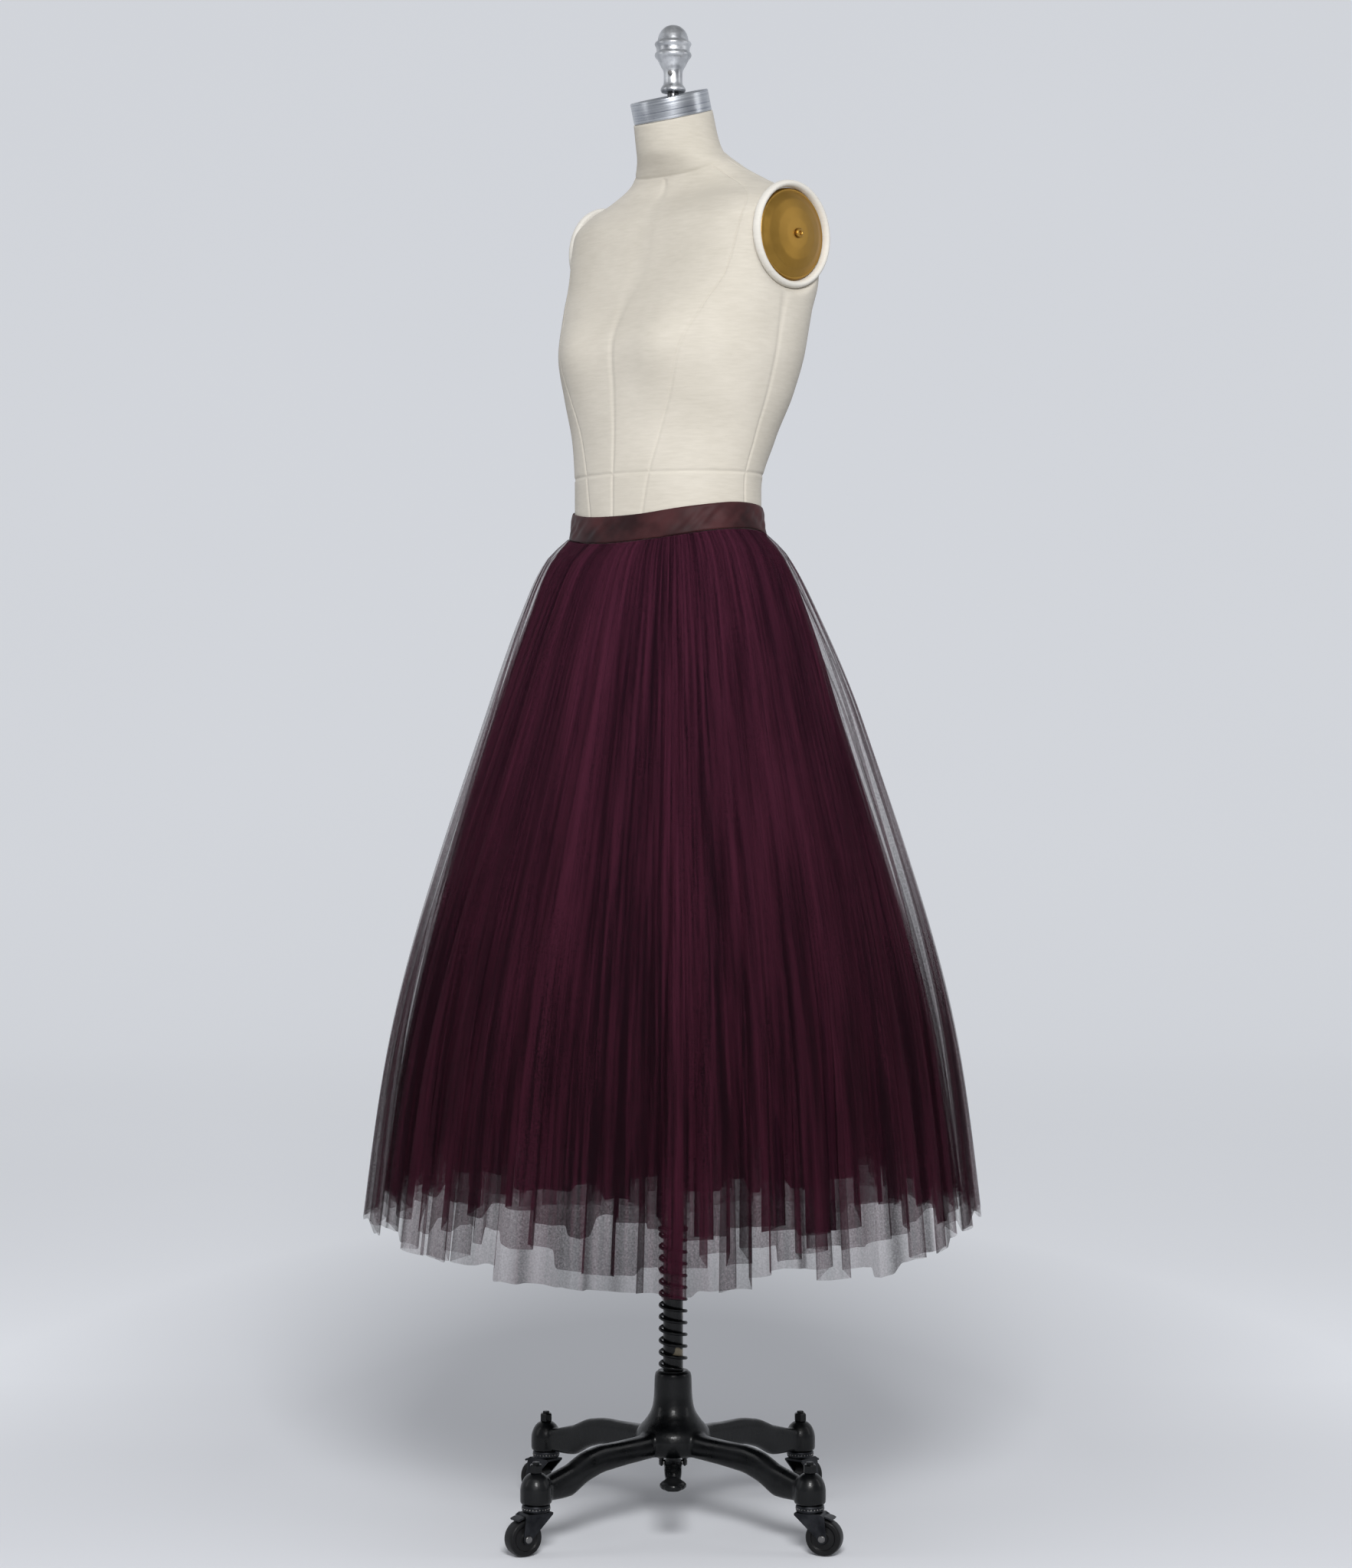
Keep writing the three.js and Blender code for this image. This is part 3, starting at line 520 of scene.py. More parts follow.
def metal_material(name, low, high, rough, grain=60.0, wear=0.25):
    shader = Shader(name, Metallic=1.0)
    cloud = shader.noise(grain, 4, 0.6)
    fine = shader.noise(grain * 12, 2, 0.5)
    shader.set("Base Color", shader.mix(shader.spread(cloud, 0.35, 0.7), low, high))
    shader.set("Roughness", shader.spread(cloud, 0.3, 0.75, rough - 0.08, rough + 0.14))
    shader.bump(fine, wear, 0.0003)
    return shader.material


def enamel_material(name, low, high, rough, chips=None):
    """Black enamel over cast iron: uneven gloss, dull dusty patches, small pits and pale chips."""
    shader = Shader(name, Specular_IOR_Level=0.2, Coat_Weight=0.12, Coat_Roughness=0.1)
    dust = shader.noise(22.0, 5, 0.65)
    pits = shader.noise(260.0, 2, 0.6)
    colour = shader.mix(shader.spread(dust, 0.45, 0.75), low, high)
    if chips:
        spots = shader.noise(chips, 2, 0.4)
        colour = shader.mix(shader.spread(spots, 0.66, 0.69), colour, srgb(138, 128, 108))
    shader.set("Base Color", colour)
    shader.set("Roughness", shader.spread(dust, 0.35, 0.7, rough - 0.1, rough + 0.2))
    shader.bump(pits, 0.3, 0.0006, shader.bump(dust, 0.3, 0.0015))
    return shader.material


def brushed_material(name, low, high, rough, tilt):
    """Turned metal with fine streaks round it."""
    shader = Shader(name, Metallic=1.0)
    streak = shader.noise(1.0, 3, 0.6, shader.brushed(tilt, 5, 700))
    cloud = shader.noise(26.0, 3, 0.5)
    tone = shader.weighted((streak, 0.65), (cloud, 0.35))
    shader.set("Base Color", shader.mix(shader.spread(tone, 0.36, 0.64), low, high))
    shader.set("Roughness", shader.spread(tone, 0.3, 0.7, rough - 0.08, rough + 0.08))
    shader.bump(streak, 0.08, 0.0001)
    return shader.material


NECK_SLOPE = 0.287  # how far the neck's cap tilts down to the front
NECK_TILT = math.atan(NECK_SLOPE)
SATIN = satin_material()
LINEN = linen_material("form_linen", srgb(184, 178, 166), srgb(206, 200, 189))
EDGING = linen_material("edging_linen", srgb(198, 194, 186), srgb(218, 215, 208), 700)
BRIGHT = metal_material("cast_aluminium", srgb(172, 174, 177), srgb(220, 222, 224), 0.36)
BRUSHED = brushed_material("cap_aluminium", srgb(154, 158, 166), srgb(204, 207, 210), 0.3, NECK_TILT)
BRASS = metal_material("aged_brass", srgb(156, 120, 55), srgb(178, 140, 70), 0.4, 14.0, 0.08)
STEEL = metal_material("dark_steel", srgb(84, 84, 86), srgb(150, 148, 145), 0.34)
FORGED = metal_material("fork_steel", srgb(34, 35, 38), srgb(60, 61, 64), 0.42, 60.0, 0.15)
ENAMEL = enamel_material("black_enamel", srgb(4, 5, 6), srgb(17, 18, 20), 0.3)
CHIPPED = enamel_material("chipped_enamel", srgb(4, 5, 6), srgb(17, 18, 20), 0.26, 46.0)
RUBBER = enamel_material("hard_rubber", srgb(7, 7, 8), srgb(22, 22, 24), 0.5)


# ---------------------------------------------------------------- turned and lofted pieces
BOW_STEPS = 3
LONGEST_BOW = 1.6


def rounded(profile, share):
    """The profile with each inner corner cut back and bowed; profile holds (radius, height)."""
    out = [profile[0]]
    for before, corner, after in zip(profile, profile[1:], profile[2:]):
        a, b, c = (np.array(p, float) for p in (before, corner, after))
        before_length, after_length = np.linalg.norm(a - b), np.linalg.norm(c - b)
        reach = min(share * min(before_length, after_length), LONGEST_BOW)
        start = b + (a - b) / max(before_length, 1e-9) * reach
        end = b + (c - b) / max(after_length, 1e-9) * reach
        for t in np.linspace(0, 1, BOW_STEPS + 1):
            out.append(tuple((1 - t) ** 2 * start + 2 * t * (1 - t) * b + t * t * end))
    return out + [profile[-1]]


def lathe(name, profile, material, sides, matrix=None, share=0.3):
    """A turned piece in millimetres about Z; ends on the axis are closed with a point."""
    turn = round_turns(sides)
    points, rings = [], []
    for r, z in rounded(profile, share):
        if r < 1e-6:
            rings.append([len(points)])
            points.append((0.0, 0.0, z))
        else:
            rings.append(list(range(len(points), len(points) + sides)))
            points.extend((r * math.cos(t), r * math.sin(t), z) for t in turn)
    faces = []
    pairs = list(zip(rings, rings[1:]))
    if len(rings[0]) > 1:
        pairs.append((rings[-1], rings[0]))
    for low, high in pairs:
        for i in range(sides):
            j = (i + 1) % sides
            quad = [low[i % len(low)], low[j % len(low)], high[j % len(high)], high[i % len(high)]]
            face = list(dict.fromkeys(quad))
            if len(face) > 2:
                faces.append(face)
    return solid(name, points, faces, material, matrix)


def tube_profile(inner, outer, low, high):
    return [(inner, low), (outer, low), (outer, high), (inner, high)]


def ring_lathe(name, profile, material, sides, matrix=None, share=0.3):
    """A turned ring whose profile closes on itself, its corners rounded all round."""
    outline = rounded([profile[-1], *profile, profile[0]], share)[1:-1]
    points = [(r * math.cos(t), r * math.sin(t), z) for r, z in outline for t in round_turns(sides)]
    faces = grid_faces(len(outline), sides, True).tolist()
    last = (len(outline) - 1) * sides
    for i in range(sides):
        j = (i + 1) % sides
        faces.append((last + i, i, j, last + j))
    return solid(name, points, faces, material, matrix)


def settle(thing, body, slot, *nodes):
    """Puts a finished piece on its body in place of its nodes; its slot is not used."""
    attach(thing, body)
    if nodes:
        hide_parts(*nodes)


def shift(x=0, y=0, z=0):
    """A move in millimetres."""
    return Matrix.Translation((x * MM, y * MM, z * MM))


def shift_out(reach, turn, z=0):
    """A move away from the axis at a turn."""
    return shift(reach * math.cos(turn), reach * math.sin(turn), z)


def spin(angle, axis):
    return Matrix.Rotation(angle, 4, axis)


def joined(name, parts):
    """One object from several, which are used up."""
    target = parts[0]
    with bpy.context.temp_override(active_object=target, selected_editable_objects=parts):
        bpy.ops.object.join()
    target.name = name
    return target


def apply_modifiers(thing):
    depsgraph = bpy.context.evaluated_depsgraph_get()
    mesh = bpy.data.meshes.new_from_object(thing.evaluated_get(depsgraph))
    thing.modifiers.clear()
    thing.data = mesh


def fuse(thing, voxel, smooth):
    """Voxel-remeshes overlapping shapes into one casting and softens where they meet."""
    remesh = thing.modifiers.new("remesh", "REMESH")
    remesh.mode = "VOXEL"
    remesh.voxel_size = voxel * MM
    soften = thing.modifiers.new("soften", "SMOOTH")
    soften.factor = 0.5
    soften.iterations = smooth
    apply_modifiers(thing)
    shade_smooth(thing.data)
    return thing


# ---------------------------------------------------------------- dress form
# Sections of the torso, in millimetres, as the solid has them
FORM_BOTTOM = 780
NECK_Z = 1546.5
FORM_ROWS = {
    "z": [FORM_BOTTOM, 796, 900, 980, 1030, 1068, 1135, 1190, 1240, 1290, 1330, 1365, 1425, 1446, 1462,
          1476, 1490, 1512, NECK_Z],
    "half_x": [156, 164, 166, 150, 131, 118, 118, 126, 138, 147, 148, 148, 147, 140, 119, 92, 71, 48, 43],
    "centre_y": [0, 0, 0, -3, -6, -9, -9, 0, 8, 13, 20, 29, 35, 38, 40, 37, 26, 9, 0],
    "half_y": [102, 110, 118, 106, 93, 84, 84, 91, 100, 107, 98, 86, 79, 68, 56, 50, 47, 45, 43.5],
    "square": [2.2, 2.2, 2.2, 2.2, 2.1, 2, 2, 2.1, 2.3, 2.4, 2.8, 3.6, 3.8, 3.2, 2.6, 2.3, 2, 2, 2],
    "slope": [0, 0, 0, 0, 0, 0, 0, 0, 0, 0, 0, 0, 0, 0, 0, 0, 0.03, 0.12, NECK_SLOPE],
}
BUST = {"depth": 9, "x": 72, "z": 1283, "wide": 40, "tall": 46}
CAP_FLOOR = 22.4  # height of the dish's floor above the neck
FINIAL_STEM = 10.3
SCREW_UP = 24  # height of the small screw above the finial's foot
PLATE = {"y": 38, "z": 1408, "seat": 138}
RING_OUTER = 57
SEAM = {"deep": 0.9, "wide": 1.9, "waist_z": 1150, "neck_z": 1488, "neck_slope": 0.55}


def form_column(key, z):
    """The torso table's column at each height."""
    return monotone_curve(FORM_ROWS["z"], FORM_ROWS[key], z)[0]


def seam_turns(z):
    """The turns of the cover's upright seams at a height, in order round the form."""
    heights = [FORM_BOTTOM, 1100, BUST["z"], 1440]
    front = np.interp(z, heights, [0.36, 0.34, 0.62, 0.95])
    back = np.interp(z, heights, [0.4, 0.36, 0.45, 0.6])
    down, up = -math.pi / 2, math.pi / 2
    return [down, down + front, 0.0, up - back, up, up + back, math.pi, down - front + 2 * math.pi]


def form_heights(rows):
    """Heights of the rows, which crowd at the two seams that go round."""
    z = np.linspace(FORM_BOTTOM, NECK_Z, 3000)
    crowd = 1 + 5 * np.exp(-(((z - SEAM["waist_z"]) / 5) ** 2))
    crowd = crowd + 3 * np.exp(-(((z - SEAM["neck_z"]) / 24) ** 2))
    share = np.cumsum(crowd)
    return np.interp(np.linspace(share[0], share[-1], rows), share, z)


def form_turns(z, columns):
    """Turns of the columns at each height: some run along the seams and the rest crowd beside them."""
    seams = np.array([seam_turns(height) for height in z])
    ends = np.concatenate([seams, seams[:, :1] + 2 * math.pi], 1)
    t = np.linspace(0, 1, columns, endpoint=False)
    t = t - 0.82 * np.sin(2 * math.pi * t) / (2 * math.pi)
    turns = ends[:, :-1, None] + (ends[:, 1:, None] - ends[:, :-1, None]) * t
    return turns.reshape(len(z), -1), seams


def form_surface(rows, columns):
    """Points of the cover in millimetres, with a groove at each seam."""
    heights = form_heights(rows)
    a, seams = form_turns(heights, columns)
    z = heights[:, None]
    power = 2 / form_column("square", z)
    c, s = np.cos(a), np.sin(a)
    centre = form_column("centre_y", z)
    x = form_column("half_x", z) * powered(c, power)
    y = centre + form_column("half_y", z) * powered(s, power)
    bust = np.exp(-(((np.abs(x) - BUST["x"]) / BUST["wide"]) ** 2) - ((z - BUST["z"]) / BUST["tall"]) ** 2)
    y = y - np.where(s < 0, BUST["depth"] * np.abs(s) * bust, 0)
    height = z + form_column("slope", z) * (y - centre)
    near = np.zeros(a.shape)
    for k in range(seams.shape[1]):
        off = apart(a, seams[:, k : k + 1]) * form_column("half_x", z)
        near = np.maximum(near, np.exp(-((off / SEAM["wide"]) ** 2)))
    above = height - y * SEAM["neck_slope"] - SEAM["neck_z"]
    near = near * ease(FORM_BOTTOM, FORM_BOTTOM + 20, z) * (1 - ease(-4, 0, above))
    waist = np.exp(-(((z - SEAM["waist_z"]) / SEAM["wide"]) ** 2))
    neck = np.exp(-((above / SEAM["wide"]) ** 2))
    groove = SEAM["deep"] * np.maximum(np.maximum(near, waist), neck)
    x, y = x - groove * c, y - groove * s
    # The sides are flat where the arm plates sit.
    away = np.hypot(y - PLATE["y"], height - PLATE["z"])
    limit = PLATE["seat"] + 14 * ease(RING_OUTER - 4, RING_OUTER + 16, away)
    x = np.sign(x) * np.minimum(np.abs(x), limit)
    return np.stack([x, y, height], -1)


def make_torso():
    rows, sides = 300, 256
    points = form_surface(rows, sides // 8).reshape(-1, 3)
    cover = solid("form_cover", points, tube_faces(rows, sides), LINEN)
    settle(cover, "form", "linen", "form_torso")


def make_neck():
    cap_place = shift(z=NECK_Z) @ spin(NECK_TILT, "X")
    cap = [(0, GAP), (43, GAP), (43.5, 1.5), (43.5, 22.8), (42.6, 24), (40, 24), (39, 22.6), (0, CAP_FLOOR)]
    settle(lathe("neck_cap_dish", cap, BRUSHED, 96, cap_place), "form", "bright_metal", "neck_cap")
    foot = NECK_Z + CAP_FLOOR / math.cos(NECK_TILT)
    spindle = lathe("finial_spindle", tube_profile(0, 6.4, -2.2, 4.6), STEEL, 32)
    knob = [(0, 4.5), (12.6, 4.5), (13.9, 6.6), (13.7, 8.8), (12.6, 10.6), (10.9, 12.6), (FINIAL_STEM, 15.5),
            (FINIAL_STEM, 26), (11.2, 29.4), (13.5, 33), (15.2, 36.6), (17.4, 40.6), (19.9, 43.6),
            (20.4, 45.6), (19.8, 47.4), (18.4, 49), (18.2, 51.4), (18.6, 54), (19.9, 56), (20.4, 57.9),
            (19.4, 59.6), (17.2, 61), (16.6, 64), (15.6, 67.8), (13.6, 71.6), (11.2, 74.4), (8, 76.8),
            (4.4, 78.2), (0, 78.6)]
    top = joined("finial_acorn", [lathe("finial_knob", knob, BRIGHT, 72), spindle])
    top.data.transform(shift(z=foot))
    settle(top, "form", "bright_metal", "finial")
    screw = [(0, 0.1), (2.6, 0.1), (2.6, 3.3), (2.2, 4), (0, 4)]
    place = spin(-math.pi / 3, "Z") @ shift(FINIAL_STEM, 0, foot + SCREW_UP) @ spin(math.pi / 2, "Y")
    settle(lathe("finial_screw_head", screw, STEEL, 24, place), "form", "steel", "finial_screw")


def make_arm(side, name):
    """The plate, its padded roll and its rivet at the arm on a side, 1 or -1 along X."""
    place = shift(side * (PLATE["seat"] + GAP), PLATE["y"], PLATE["z"]) @ spin(side * math.pi / 2, "Y")
    dome = [(0, 0.2), (49.6, 0.2), (50, 1), (50, 3), (48, 5.5), (47, 5.2), (45, 6), (38, 9.4), (28, 12.2),
            (16, 14.2), (0, 15)]
    settle(lathe(f"arm_dome_{name}", dome, BRASS, 96, place), "form", "brass", f"arm_plate_{name}")
    roll = [(50.4, 0.5), (RING_OUTER, 0.5), (58.5, 4), (57.5, 8.5), (54.5, 10.4), (51.6, 8.5), (50.4, 4.5)]
    ring = ring_lathe(f"arm_roll_{name}", roll, EDGING, 96, place, 0.45)
    settle(ring, "form", "ring_linen", f"arm_ring_{name}")
    stud = [(0, 15.1), (5.5, 15.3), (5.0, 17.8), (3.4, 18.8), (1.9, 17.6), (1.7, 15.6), (0, 15.6)]
    settle(lathe(f"arm_rivet_{name}", stud, BRASS, 32, place), "form", "brass", f"arm_stud_{name}")


# ---------------------------------------------------------------- waistband
WAIST = {"half_x": 118, "half_y": 84, "centre_y": -9}
BAND = {"height": 28.5, "wall": 2.6, "lift": 0.6, "bottom": 1081.2, "flare": 4}
BAND_BACK = math.pi / 2  # the turn at which the band closes
LAP = {"half": 17, "height": 22, "wall": 2, "lift": 0.9}
EDGE_STEPS = 15


def band_point(turn, out, z):
    """The point at a turn and a height that stands out from the waist, in millimetres."""
    return np.stack([
        (WAIST["half_x"] + out) * np.cos(turn),
        WAIST["centre_y"] + (WAIST["half_y"] + out) * np.sin(turn),
        z + waist_rise(turn),
    ], -1)


def strip(name, turns, out, low, high, wall, wrinkle, flare, seed):
    """A band of cloth with rounded edges between two turns; it is closed all round its section."""
    columns = 420 if turns[1] - turns[0] > math.pi else 60
    turn = np.linspace(turns[0], turns[1], columns)[None, :]
    up = np.linspace(0, 1, EDGE_STEPS)
    across = np.concatenate([up, up[::-1]])[:, None]
    outer = np.repeat([1.0, 0.0], len(up))[:, None]
    edge = np.sin(across * math.pi) ** 0.25
    drag = wobble(turn + 0.25 * across, [7, 11, 18], seed) * np.sin(across * math.pi)
    pull = wobble(turn - 0.3 * across, [23, 31, 43], seed + 1) * np.sin(across * math.pi)
    thick = wall * (0.25 + 0.75 * edge)
    inner_side = out + (wall - thick) * 0.5
    offset = inner_side + outer * thick + wrinkle * outer * (0.6 * drag + 0.4 * pull)
    offset = offset + flare * (1 - across) ** 2.2
    height = low + (high - low) * across + 0.6 * wobble(turn, [3, 5, 9], seed + 2) * (across - 0.5)
    points = band_point(turn + 0 * across, offset, height).reshape(-1, 3)
    rows = len(across)
    last = (rows - 1) * columns
    faces = grid_faces(rows, columns).tolist()
    faces += [(last + c, c, c + 1, last + c + 1) for c in range(columns - 1)]
    faces += [[r * columns + c for r in range(rows)] for c in (0, columns - 1)]
    return solid(name, points, faces, SATIN)


def make_band():
    slit = GAP / 2 / WAIST["half_x"]
    turns = (BAND_BACK + slit, BAND_BACK + 2 * math.pi - slit)
    low, wall, flare = BAND["bottom"], BAND["wall"], BAND["flare"]
    band = strip("waistband_satin", turns, BAND["lift"], low, low + BAND["height"], wall, 1.3, flare, 3)
    settle(band, "form", "satin", "waistband")


def make_lap():
    half = LAP["half"] / WAIST["half_x"]
    turns = (BAND_BACK - half, BAND_BACK + half)
    low = BAND["bottom"] + (BAND["height"] - LAP["height"]) / 2
    out = BAND["lift"] + BAND["wall"] + LAP["lift"]
    tab = strip("waistband_lap", turns, out, low, low + LAP["height"], LAP["wall"], 0.2, 0, 9)
    settle(tab, "form", "satin", "waistband_tab")
    rim = [(0, 0), (6.3, 0), (6.5, 0.6), (6.5, 2), (5.6, 2.6), (4.6, 2), (0, 1.9)]
    centre = band_point(np.array(BAND_BACK), out + 2.2, BAND["bottom"] + BAND["height"] / 2)
    place = shift(*centre) @ spin(-math.pi / 2, "X")
    settle(lathe("waist_button_disc", rim, BRIGHT, 40, place), "form", "bright_metal", "waist_button")


# ---------------------------------------------------------------- stand
# Plain tubes about the pole: inner and outer radius, bottom and top, in millimetres
POST = (0, 10.9, 96.3, 950)
SLEEVE = (11.2, 12.2, 327.6, 1040)
SEAT = (11.2, 16.5, 322.6, 327.3)
HUB_COLLAR = (11.2, 16.4, 168.4, 169.9)
SPRING = {"radius": 14.1, "wire": 2, "turns": 11.5, "bottom": 171.8, "top": 320.3}
LEG_TURNS = {"front": -math.pi / 2, "left": 0.0, "back": math.pi / 2, "right": math.pi}
TRAIL_TURNS = dict(zip(LEG_TURNS, np.radians([-102, 27, 100, 180]).tolist()))
CASTER_REACH = 205
TRAIL = 16
WHEEL_RADIUS = 19.5
AXLE_Z = WHEEL_RADIUS * math.cos(math.pi / 24)  # the solid wheel has 24 sides and stands on one
LEG_STATIONS = [  # reach, top, underside, width
    (4, 118, 79, 30), (30, 108, 79, 27), (47, 103.5, 78, 23), (80, 102.5, 76, 19.5), (112, 102.5, 73, 18),
    (135, 98.5, 66, 18), (157, 88.5, 53.8, 18), (200, 77, 54, 18),
]
PEDAL_STATIONS = [  # reach, middle, width, thickness
    (13, 72, 18, 7), (16, 72.3, 19.5, 9.5), (60, 72.5, 19.5, 9.2), (80, 70.8, 18.5, 8.6),
    (98, 68.3, 15.5, 8.2), (104, 67.4, 22, 8), (110, 67, 27, 8.2), (116, 66.7, 29, 8.2),
    (123, 66.3, 25, 8), (129, 66, 16, 6.6),
]
PEDAL_PIVOT = {"reach": 21, "z": 72.5}
PEDAL_TURN = -math.pi / 4
EAR_ASIDE = 12.7  # from the pedal's middle to the middle of each ear that holds its pin
NUT_BOTTOM = 86.2
BEADS = {"count": 26, "circle": 14.6, "z": 49.1}
CHEEK_ASIDE = 10.6
FORK = {"top": 45, "plate": 2.3, "reach": 14.5}


def swept_bar(name, stations, turn, material, squareness=3.2, sides=28):
    """A bar with a rounded section along a level direction; stations give reach, middle, width, height."""
    last = len(stations) - 1
    fine = np.linspace(0, last, 8 * last + 1)
    rows = np.stack([np.interp(fine, range(last + 1), column) for column in zip(*stations)], 1)
    for k in (1, 2, 3):
        padded = np.pad(rows[:, k], 2, mode="edge")
        rows[:, k] = np.convolve(padded, np.ones(5) / 5, "valid")
    a = round_turns(sides)
    c, s = powered(np.cos(a), 2 / squareness), powered(np.sin(a), 2 / squareness)
    along = np.array([math.cos(turn), math.sin(turn), 0])
    side = np.array([-math.sin(turn), math.cos(turn), 0])
    points = [
        along * reach + np.outer(c * width / 2, side) + np.outer(middle + s * height / 2, [0, 0, 1])
        for reach, middle, width, height in rows
    ]
    return solid(name, np.concatenate(points), tube_faces(len(rows), sides), material)


def make_base():
    hub = [(0, 79), (36, 79), (39.5, 83), (41.5, 89), (42, 96), (40.5, 103), (37.5, 108), (31, 115),
           (25.5, 123), (22.5, 131), (21.3, 140), (20.8, 148), (20.3, 165), (18.6, 169.3), (12.2, 169.4),
           (12, 160), (0, 160)]
    parts = [lathe("base_hub", hub, ENAMEL, 64)]
    for turn in LEG_TURNS.values():
        bars = [(r, (top + low) / 2, w, top - low) for r, top, low, w in LEG_STATIONS]
        parts.append(swept_bar("base_leg", bars, turn, ENAMEL))
        housing = [(0, 53.4), (15.8, 53.4), (17, 54.6), (17, 70), (15.8, 75), (13.2, 80.6), (10, 84),
                   (7, 86), (0, 86)]
        parts.append(lathe("base_housing", housing, ENAMEL, 40, shift_out(CASTER_REACH, turn)))
    for sideways in (1, -1):
        ear = [(14, 74.5, 4.2, 14), (20, 74.2, 4.2, 13.5), (28, 75, 4.2, 12)]
        bar = swept_bar("base_ear", ear, PEDAL_TURN, ENAMEL, 4)
        bar.data.transform(shift_out(EAR_ASIDE * sideways, PEDAL_TURN + math.pi / 2))
        parts.append(bar)
    base = fuse(joined("base_star", parts), 1.5, 14)
    settle(base, "stand", "black_iron", "base_casting")


def make_pole():
    settle(lathe("post_bar", tube_profile(*POST), CHIPPED, 40), "stand", "black_iron", "post")
    settle(ring_lathe("form_sleeve", tube_profile(*SLEEVE), CHIPPED, 48), "form", "steel", "form_tube")
    collar = ring_lathe("spring_collar", tube_profile(*SEAT), ENAMEL, 48)
    settle(collar, "lift", "black_iron", "spring_seat")
    settle(ring_lathe("hub_collar", tube_profile(*HUB_COLLAR), ENAMEL, 48), "stand", "black_iron")


def make_spring():
    steps, sides = int(SPRING["turns"] * 40), 10
    t = np.linspace(0, 1, steps + 1)
    height = SPRING["bottom"] + (SPRING["top"] - SPRING["bottom"]) * t
    turn = -2 * math.pi * SPRING["turns"] * t
    centre = np.stack([SPRING["radius"] * np.cos(turn), SPRING["radius"] * np.sin(turn), height], -1)
    outward_way = np.stack([np.cos(turn), np.sin(turn), 0 * turn], -1)
    a = round_turns(sides)
    rings = centre[:, None, :] + SPRING["wire"] * (
        np.cos(a)[None, :, None] * outward_way[:, None, :]
        + np.sin(a)[None, :, None] * np.array([0, 0, 1.0])
    )
    coil = solid("spring_coil", rings.reshape(-1, 3), tube_faces(steps + 1, sides), ENAMEL)
    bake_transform(coil)
    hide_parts("spring")


def make_pedal():
    parts = [swept_bar("pedal_lever", PEDAL_STATIONS, PEDAL_TURN, ENAMEL, 2.8)]
    for reach in np.arange(60, 99, 4.0):
        middle = np.interp(reach, [60, 98], [72.5, 68.3])
        edge = (middle + 4, 8.5, 1.4)
        rib = [(reach - 1, *edge), (reach, middle + 4.2, 9, 1.6), (reach + 1, *edge)]
        parts.append(swept_bar("pedal_rib", rib, PEDAL_TURN, ENAMEL, 2.8, 16))
    settle(joined("pedal_lever", parts), "pedal", "black_iron", "pedal")
    place = shift_out(PEDAL_PIVOT["reach"], PEDAL_TURN, PEDAL_PIVOT["z"])
    place = place @ spin(PEDAL_TURN, "Z") @ spin(math.pi / 2, "X")
    pin = lathe("pedal_pivot", tube_profile(0, 3, -15.5, 15.5), STEEL, 24, place)
    settle(pin, "stand", "steel", "pedal_pin")


def prism(name, outline, thick, material, matrix):
    """A plate of the outline (a list of x, z in millimetres) across Y, with soft edges."""
    shape = bmesh.new()
    near = [shape.verts.new((x * MM, -thick / 2 * MM, z * MM)) for x, z in outline]
    face = shape.faces.new(near)
    extruded = bmesh.ops.extrude_face_region(shape, geom=[face])
    moved = [v for v in extruded["geom"] if isinstance(v, bmesh.types.BMVert)]
    bmesh.ops.translate(shape, verts=moved, vec=(0, thick * MM, 0))
    bmesh.ops.recalc_face_normals(shape, faces=shape.faces)
    bmesh.ops.bevel(shape, geom=list(shape.edges), offset=0.4 * MM, segments=2, affect="EDGES",
                    clamp_overlap=True, profile=0.5)
    mesh = bpy.data.meshes.new(name)
    shape.to_mesh(mesh)
    shape.free()
    mesh.materials.append(material)
    mesh.transform(matrix)
    return add_object(name, mesh)


def axle_arc(radius, turns):
    """Points at turns round the axle, as a fork's plates are drawn."""
    return [(TRAIL + radius * math.cos(t), AXLE_Z + radius * math.sin(t)) for t in turns]


def make_race(name, place):
    """The nut over a leg's housing and the beaded race under it."""
    nut = [(0, 0), (7.2, 0), (7.2, 7.6), (6.2, 9), (4.2, 9.2), (4.2, 11), (3.4, 11.5), (0, 11.5)]
    piece = lathe(f"nut_{name}", nut, ENAMEL, 6, place @ shift(z=NUT_BOTTOM) @ spin(0.3, "Z"), 0.12)
    shade_smooth(piece.data, False)
    settle(piece, "stand", "steel", f"caster_nut_{name}")
    race = [(6, 45.4), (13.4, 45.4), (14.8, 46.4), (15.2, 48.2), (14.3, 49.1), (15.2, 50), (15, 52),
            (13.8, 53.2), (6, 53.2)]
    parts = [ring_lathe(f"race_{name}", race, FORGED, 48, place)]
    bead = [(0, -0.9), (0.65, -0.65), (0.9, 0), (0.65, 0.65), (0, 0.9)]
    for turn in round_turns(BEADS["count"]):
        spot = place @ shift_out(BEADS["circle"], turn, BEADS["z"])
        parts.append(lathe(f"race_{name}", bead, STEEL, 8, spot))
    settle(joined(f"race_{name}", parts), f"swivel_{name}", "steel", f"caster_race_{name}")


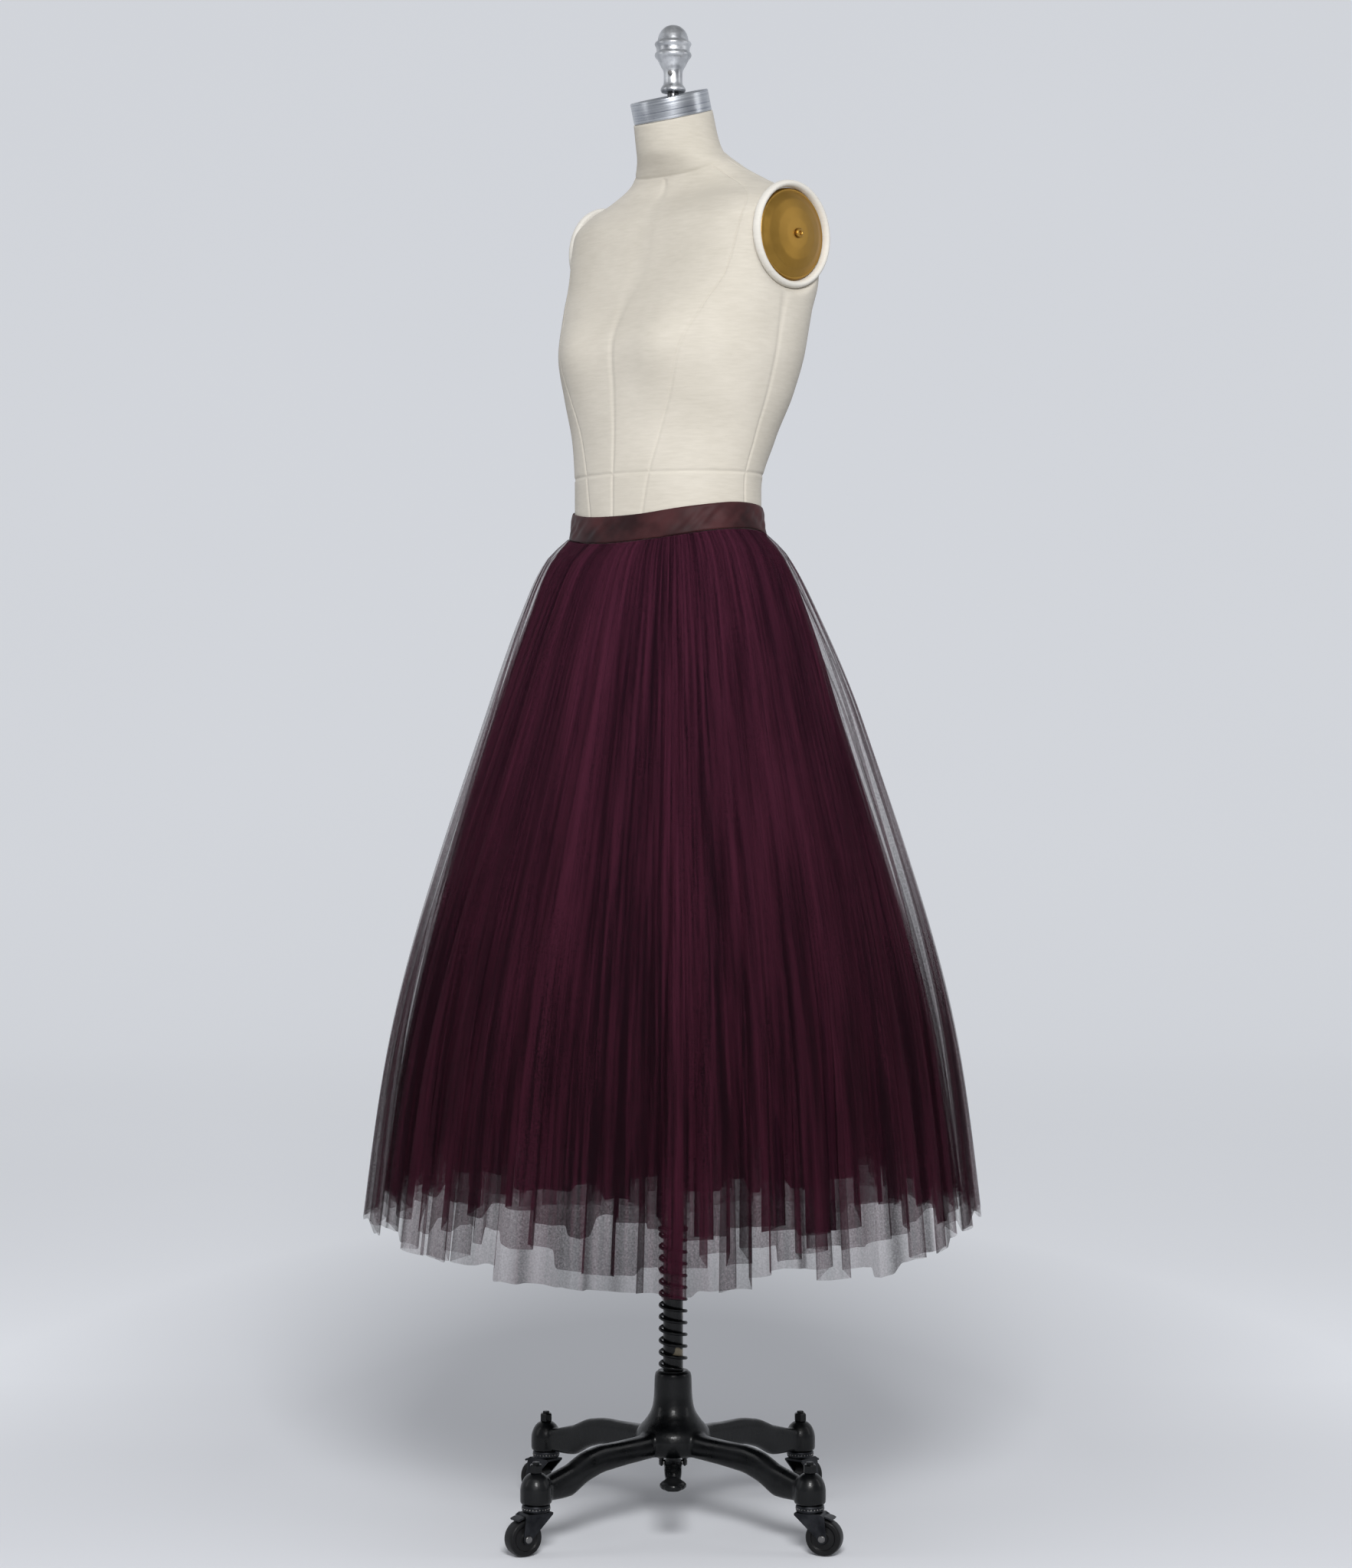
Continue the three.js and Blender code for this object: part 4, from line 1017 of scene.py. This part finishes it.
def make_fork(name, place):
    """Two cheeks, the plate over them and the fender over the wheel."""
    top, reach = FORK["top"], FORK["reach"]
    under = top - FORK["plate"]
    arc = axle_arc(5.5, np.linspace(math.pi, 2 * math.pi, 9))
    cheek = [(-reach, top), (-reach, under), *arc, (18.5, under), (reach, top)]
    plates = []
    for sideways in (1, -1):
        plates.append(prism(f"fork_{name}", cheek, 2.0, FORGED, place @ shift(y=sideways * CHEEK_ASIDE)))
    plate = [(-reach, top), (-reach, under), (16.5, under), (reach, top)]
    plates.append(prism(f"fork_{name}", plate, 21, FORGED, place))
    turns = np.radians(np.linspace(90, 62, 7))
    fender = axle_arc(23.4, turns) + axle_arc(21.2, turns[::-1])
    plates.append(prism(f"fork_{name}", fender, 17, FORGED, place))
    settle(joined(f"fork_{name}", plates), f"swivel_{name}", "black_iron", f"caster_fork_{name}")


def make_wheel(name, place):
    """The axle and the tyre, about the axle's own place."""
    axle = [(0, -13.5), (3.2, -13.5), (4, -12.4), (4, -11.9), (2.4, -11.9), (2.4, 11.9), (4, 11.9), (4, 12.4),
            (3.2, 13.5), (0, 13.5)]
    pin = lathe(f"axle_{name}", axle, STEEL, 28, place)
    settle(pin, f"swivel_{name}", "steel", f"caster_axle_{name}")
    half = [(19.5, 3), (19.1, 6.4), (17.6, 8.1), (13.5, 7.6), (12.5, 6.4), (6.5, 7.2), (6, 8.5), (2.8, 8.5)]
    wheel = [(r, -z) for r, z in reversed(half)] + half
    tyre = ring_lathe(f"wheel_tyre_{name}", wheel, RUBBER, 72, place)
    settle(tyre, f"wheel_{name}", "tyre", f"caster_wheel_{name}")


def make_caster(name):
    place = shift_out(CASTER_REACH, LEG_TURNS[name])
    make_race(name, place)
    turned_place = place @ spin(TRAIL_TURNS[name], "Z")
    make_fork(name, turned_place)
    make_wheel(name, turned_place @ shift(TRAIL, 0, AXLE_Z) @ spin(math.pi / 2, "X"))


make_torso()
make_neck()
make_arm(1, "left")
make_arm(-1, "right")
make_band()
make_lap()
make_base()
make_pole()
make_spring()
make_pedal()
for direction in LEG_TURNS:
    make_caster(direction)


# ---------------------------------------------------------------- floor and light
def make_stage():
    """A round seamless bowl: floor in the middle, wall all round."""
    radius, bend, high = 9.0, 3.0, 9.0
    profile = [(0.0, 0.0), (radius - bend, 0.0)]
    for i in range(1, 17):
        a = math.pi / 2 * i / 16
        profile.append((radius - bend + bend * math.sin(a), bend - bend * math.cos(a)))
    profile.append((radius, high))
    sides = 96
    points = [(r * math.cos(t), r * math.sin(t), z) for r, z in profile[1:] for t in round_turns(sides)]
    faces = [tuple(reversed(range(sides)))] + grid_faces(len(profile) - 1, sides, True).tolist()
    glow = (0.93, 0.96, 1.0, 1)
    shader = Shader("studio_paper", Roughness=0.95, Specular_IOR_Level=0.05, Emission_Color=glow)
    soft = shader.noise(0.8, 2, 0.5)
    shader.set("Base Color", shader.mix(soft, srgb(224, 226, 231), srgb(228, 230, 235)))
    # Painted light: the paper glows, standing in for lamps at both sides of it, and the glow is left off in
    # the middle behind the stand, where the skirt's cast shadow falls.
    across = shader.along((math.cos(CAMERA_TURN), math.sin(CAMERA_TURN), 0))
    depth = shader.along((-math.sin(CAMERA_TURN), math.cos(CAMERA_TURN), 0))
    wide = shader.math("MULTIPLY", across, 2.6)
    square = shader.math("ADD", shader.math("MULTIPLY", wide, wide), shader.math("MULTIPLY", depth, depth))
    away = shader.math("SQRT", square)
    near = shader.spread(away, 1.4, 2.7, 0.0, 0.2)
    near = shader.math("MULTIPLY", near, shader.spread(depth, -0.1, 0.9))
    # Painted light: the paper far behind the stand glows more with distance.
    far_wall_glow = shader.spread(depth, 2.0, 6.0, 0.0, 0.1)
    shader.set("Emission Strength", shader.math("ADD", near, far_wall_glow))
    bowl = mesh_object("studio_bowl", points, faces, shader.material)
    turn_inside(bowl)
    bowl.visible_diffuse = False
    bowl.visible_shadow = False


def area_light(name, turn, height, distance, size, power, target):
    data = bpy.data.lights.new(name, "AREA")
    data.shape = "RECTANGLE"
    data.size, data.size_y = size
    data.energy = power
    lamp = add_object(name, data)
    lamp.visible_camera = False
    a = math.radians(turn)
    lamp.location = (distance * math.sin(a), -distance * math.cos(a), height)
    aim = Vector((0, 0, target)) - lamp.location
    lamp.rotation_euler = aim.to_track_quat("-Z", "Y").to_euler()


make_stage()
world = bpy.data.worlds.new("studio")
world.use_nodes = True
sky = world.node_tree.nodes["Background"].inputs
sky["Color"].default_value = (0.955, 0.97, 1.0, 1)
sky["Strength"].default_value = 0.42
bpy.context.scene.world = world
area_light("key", 47, 2.25, 3.3, (1.0, 1.0), 122, 0.6)
for side, turn in (("left", -35), ("right", 128)):
    area_light(f"fill_{side}", turn, 1.9, 3.2, (0.8, 2.4), 10, 0.8)
bpy.context.scene.view_settings.view_transform = "Standard"
bpy.context.scene.cycles.transparent_max_bounces = 48
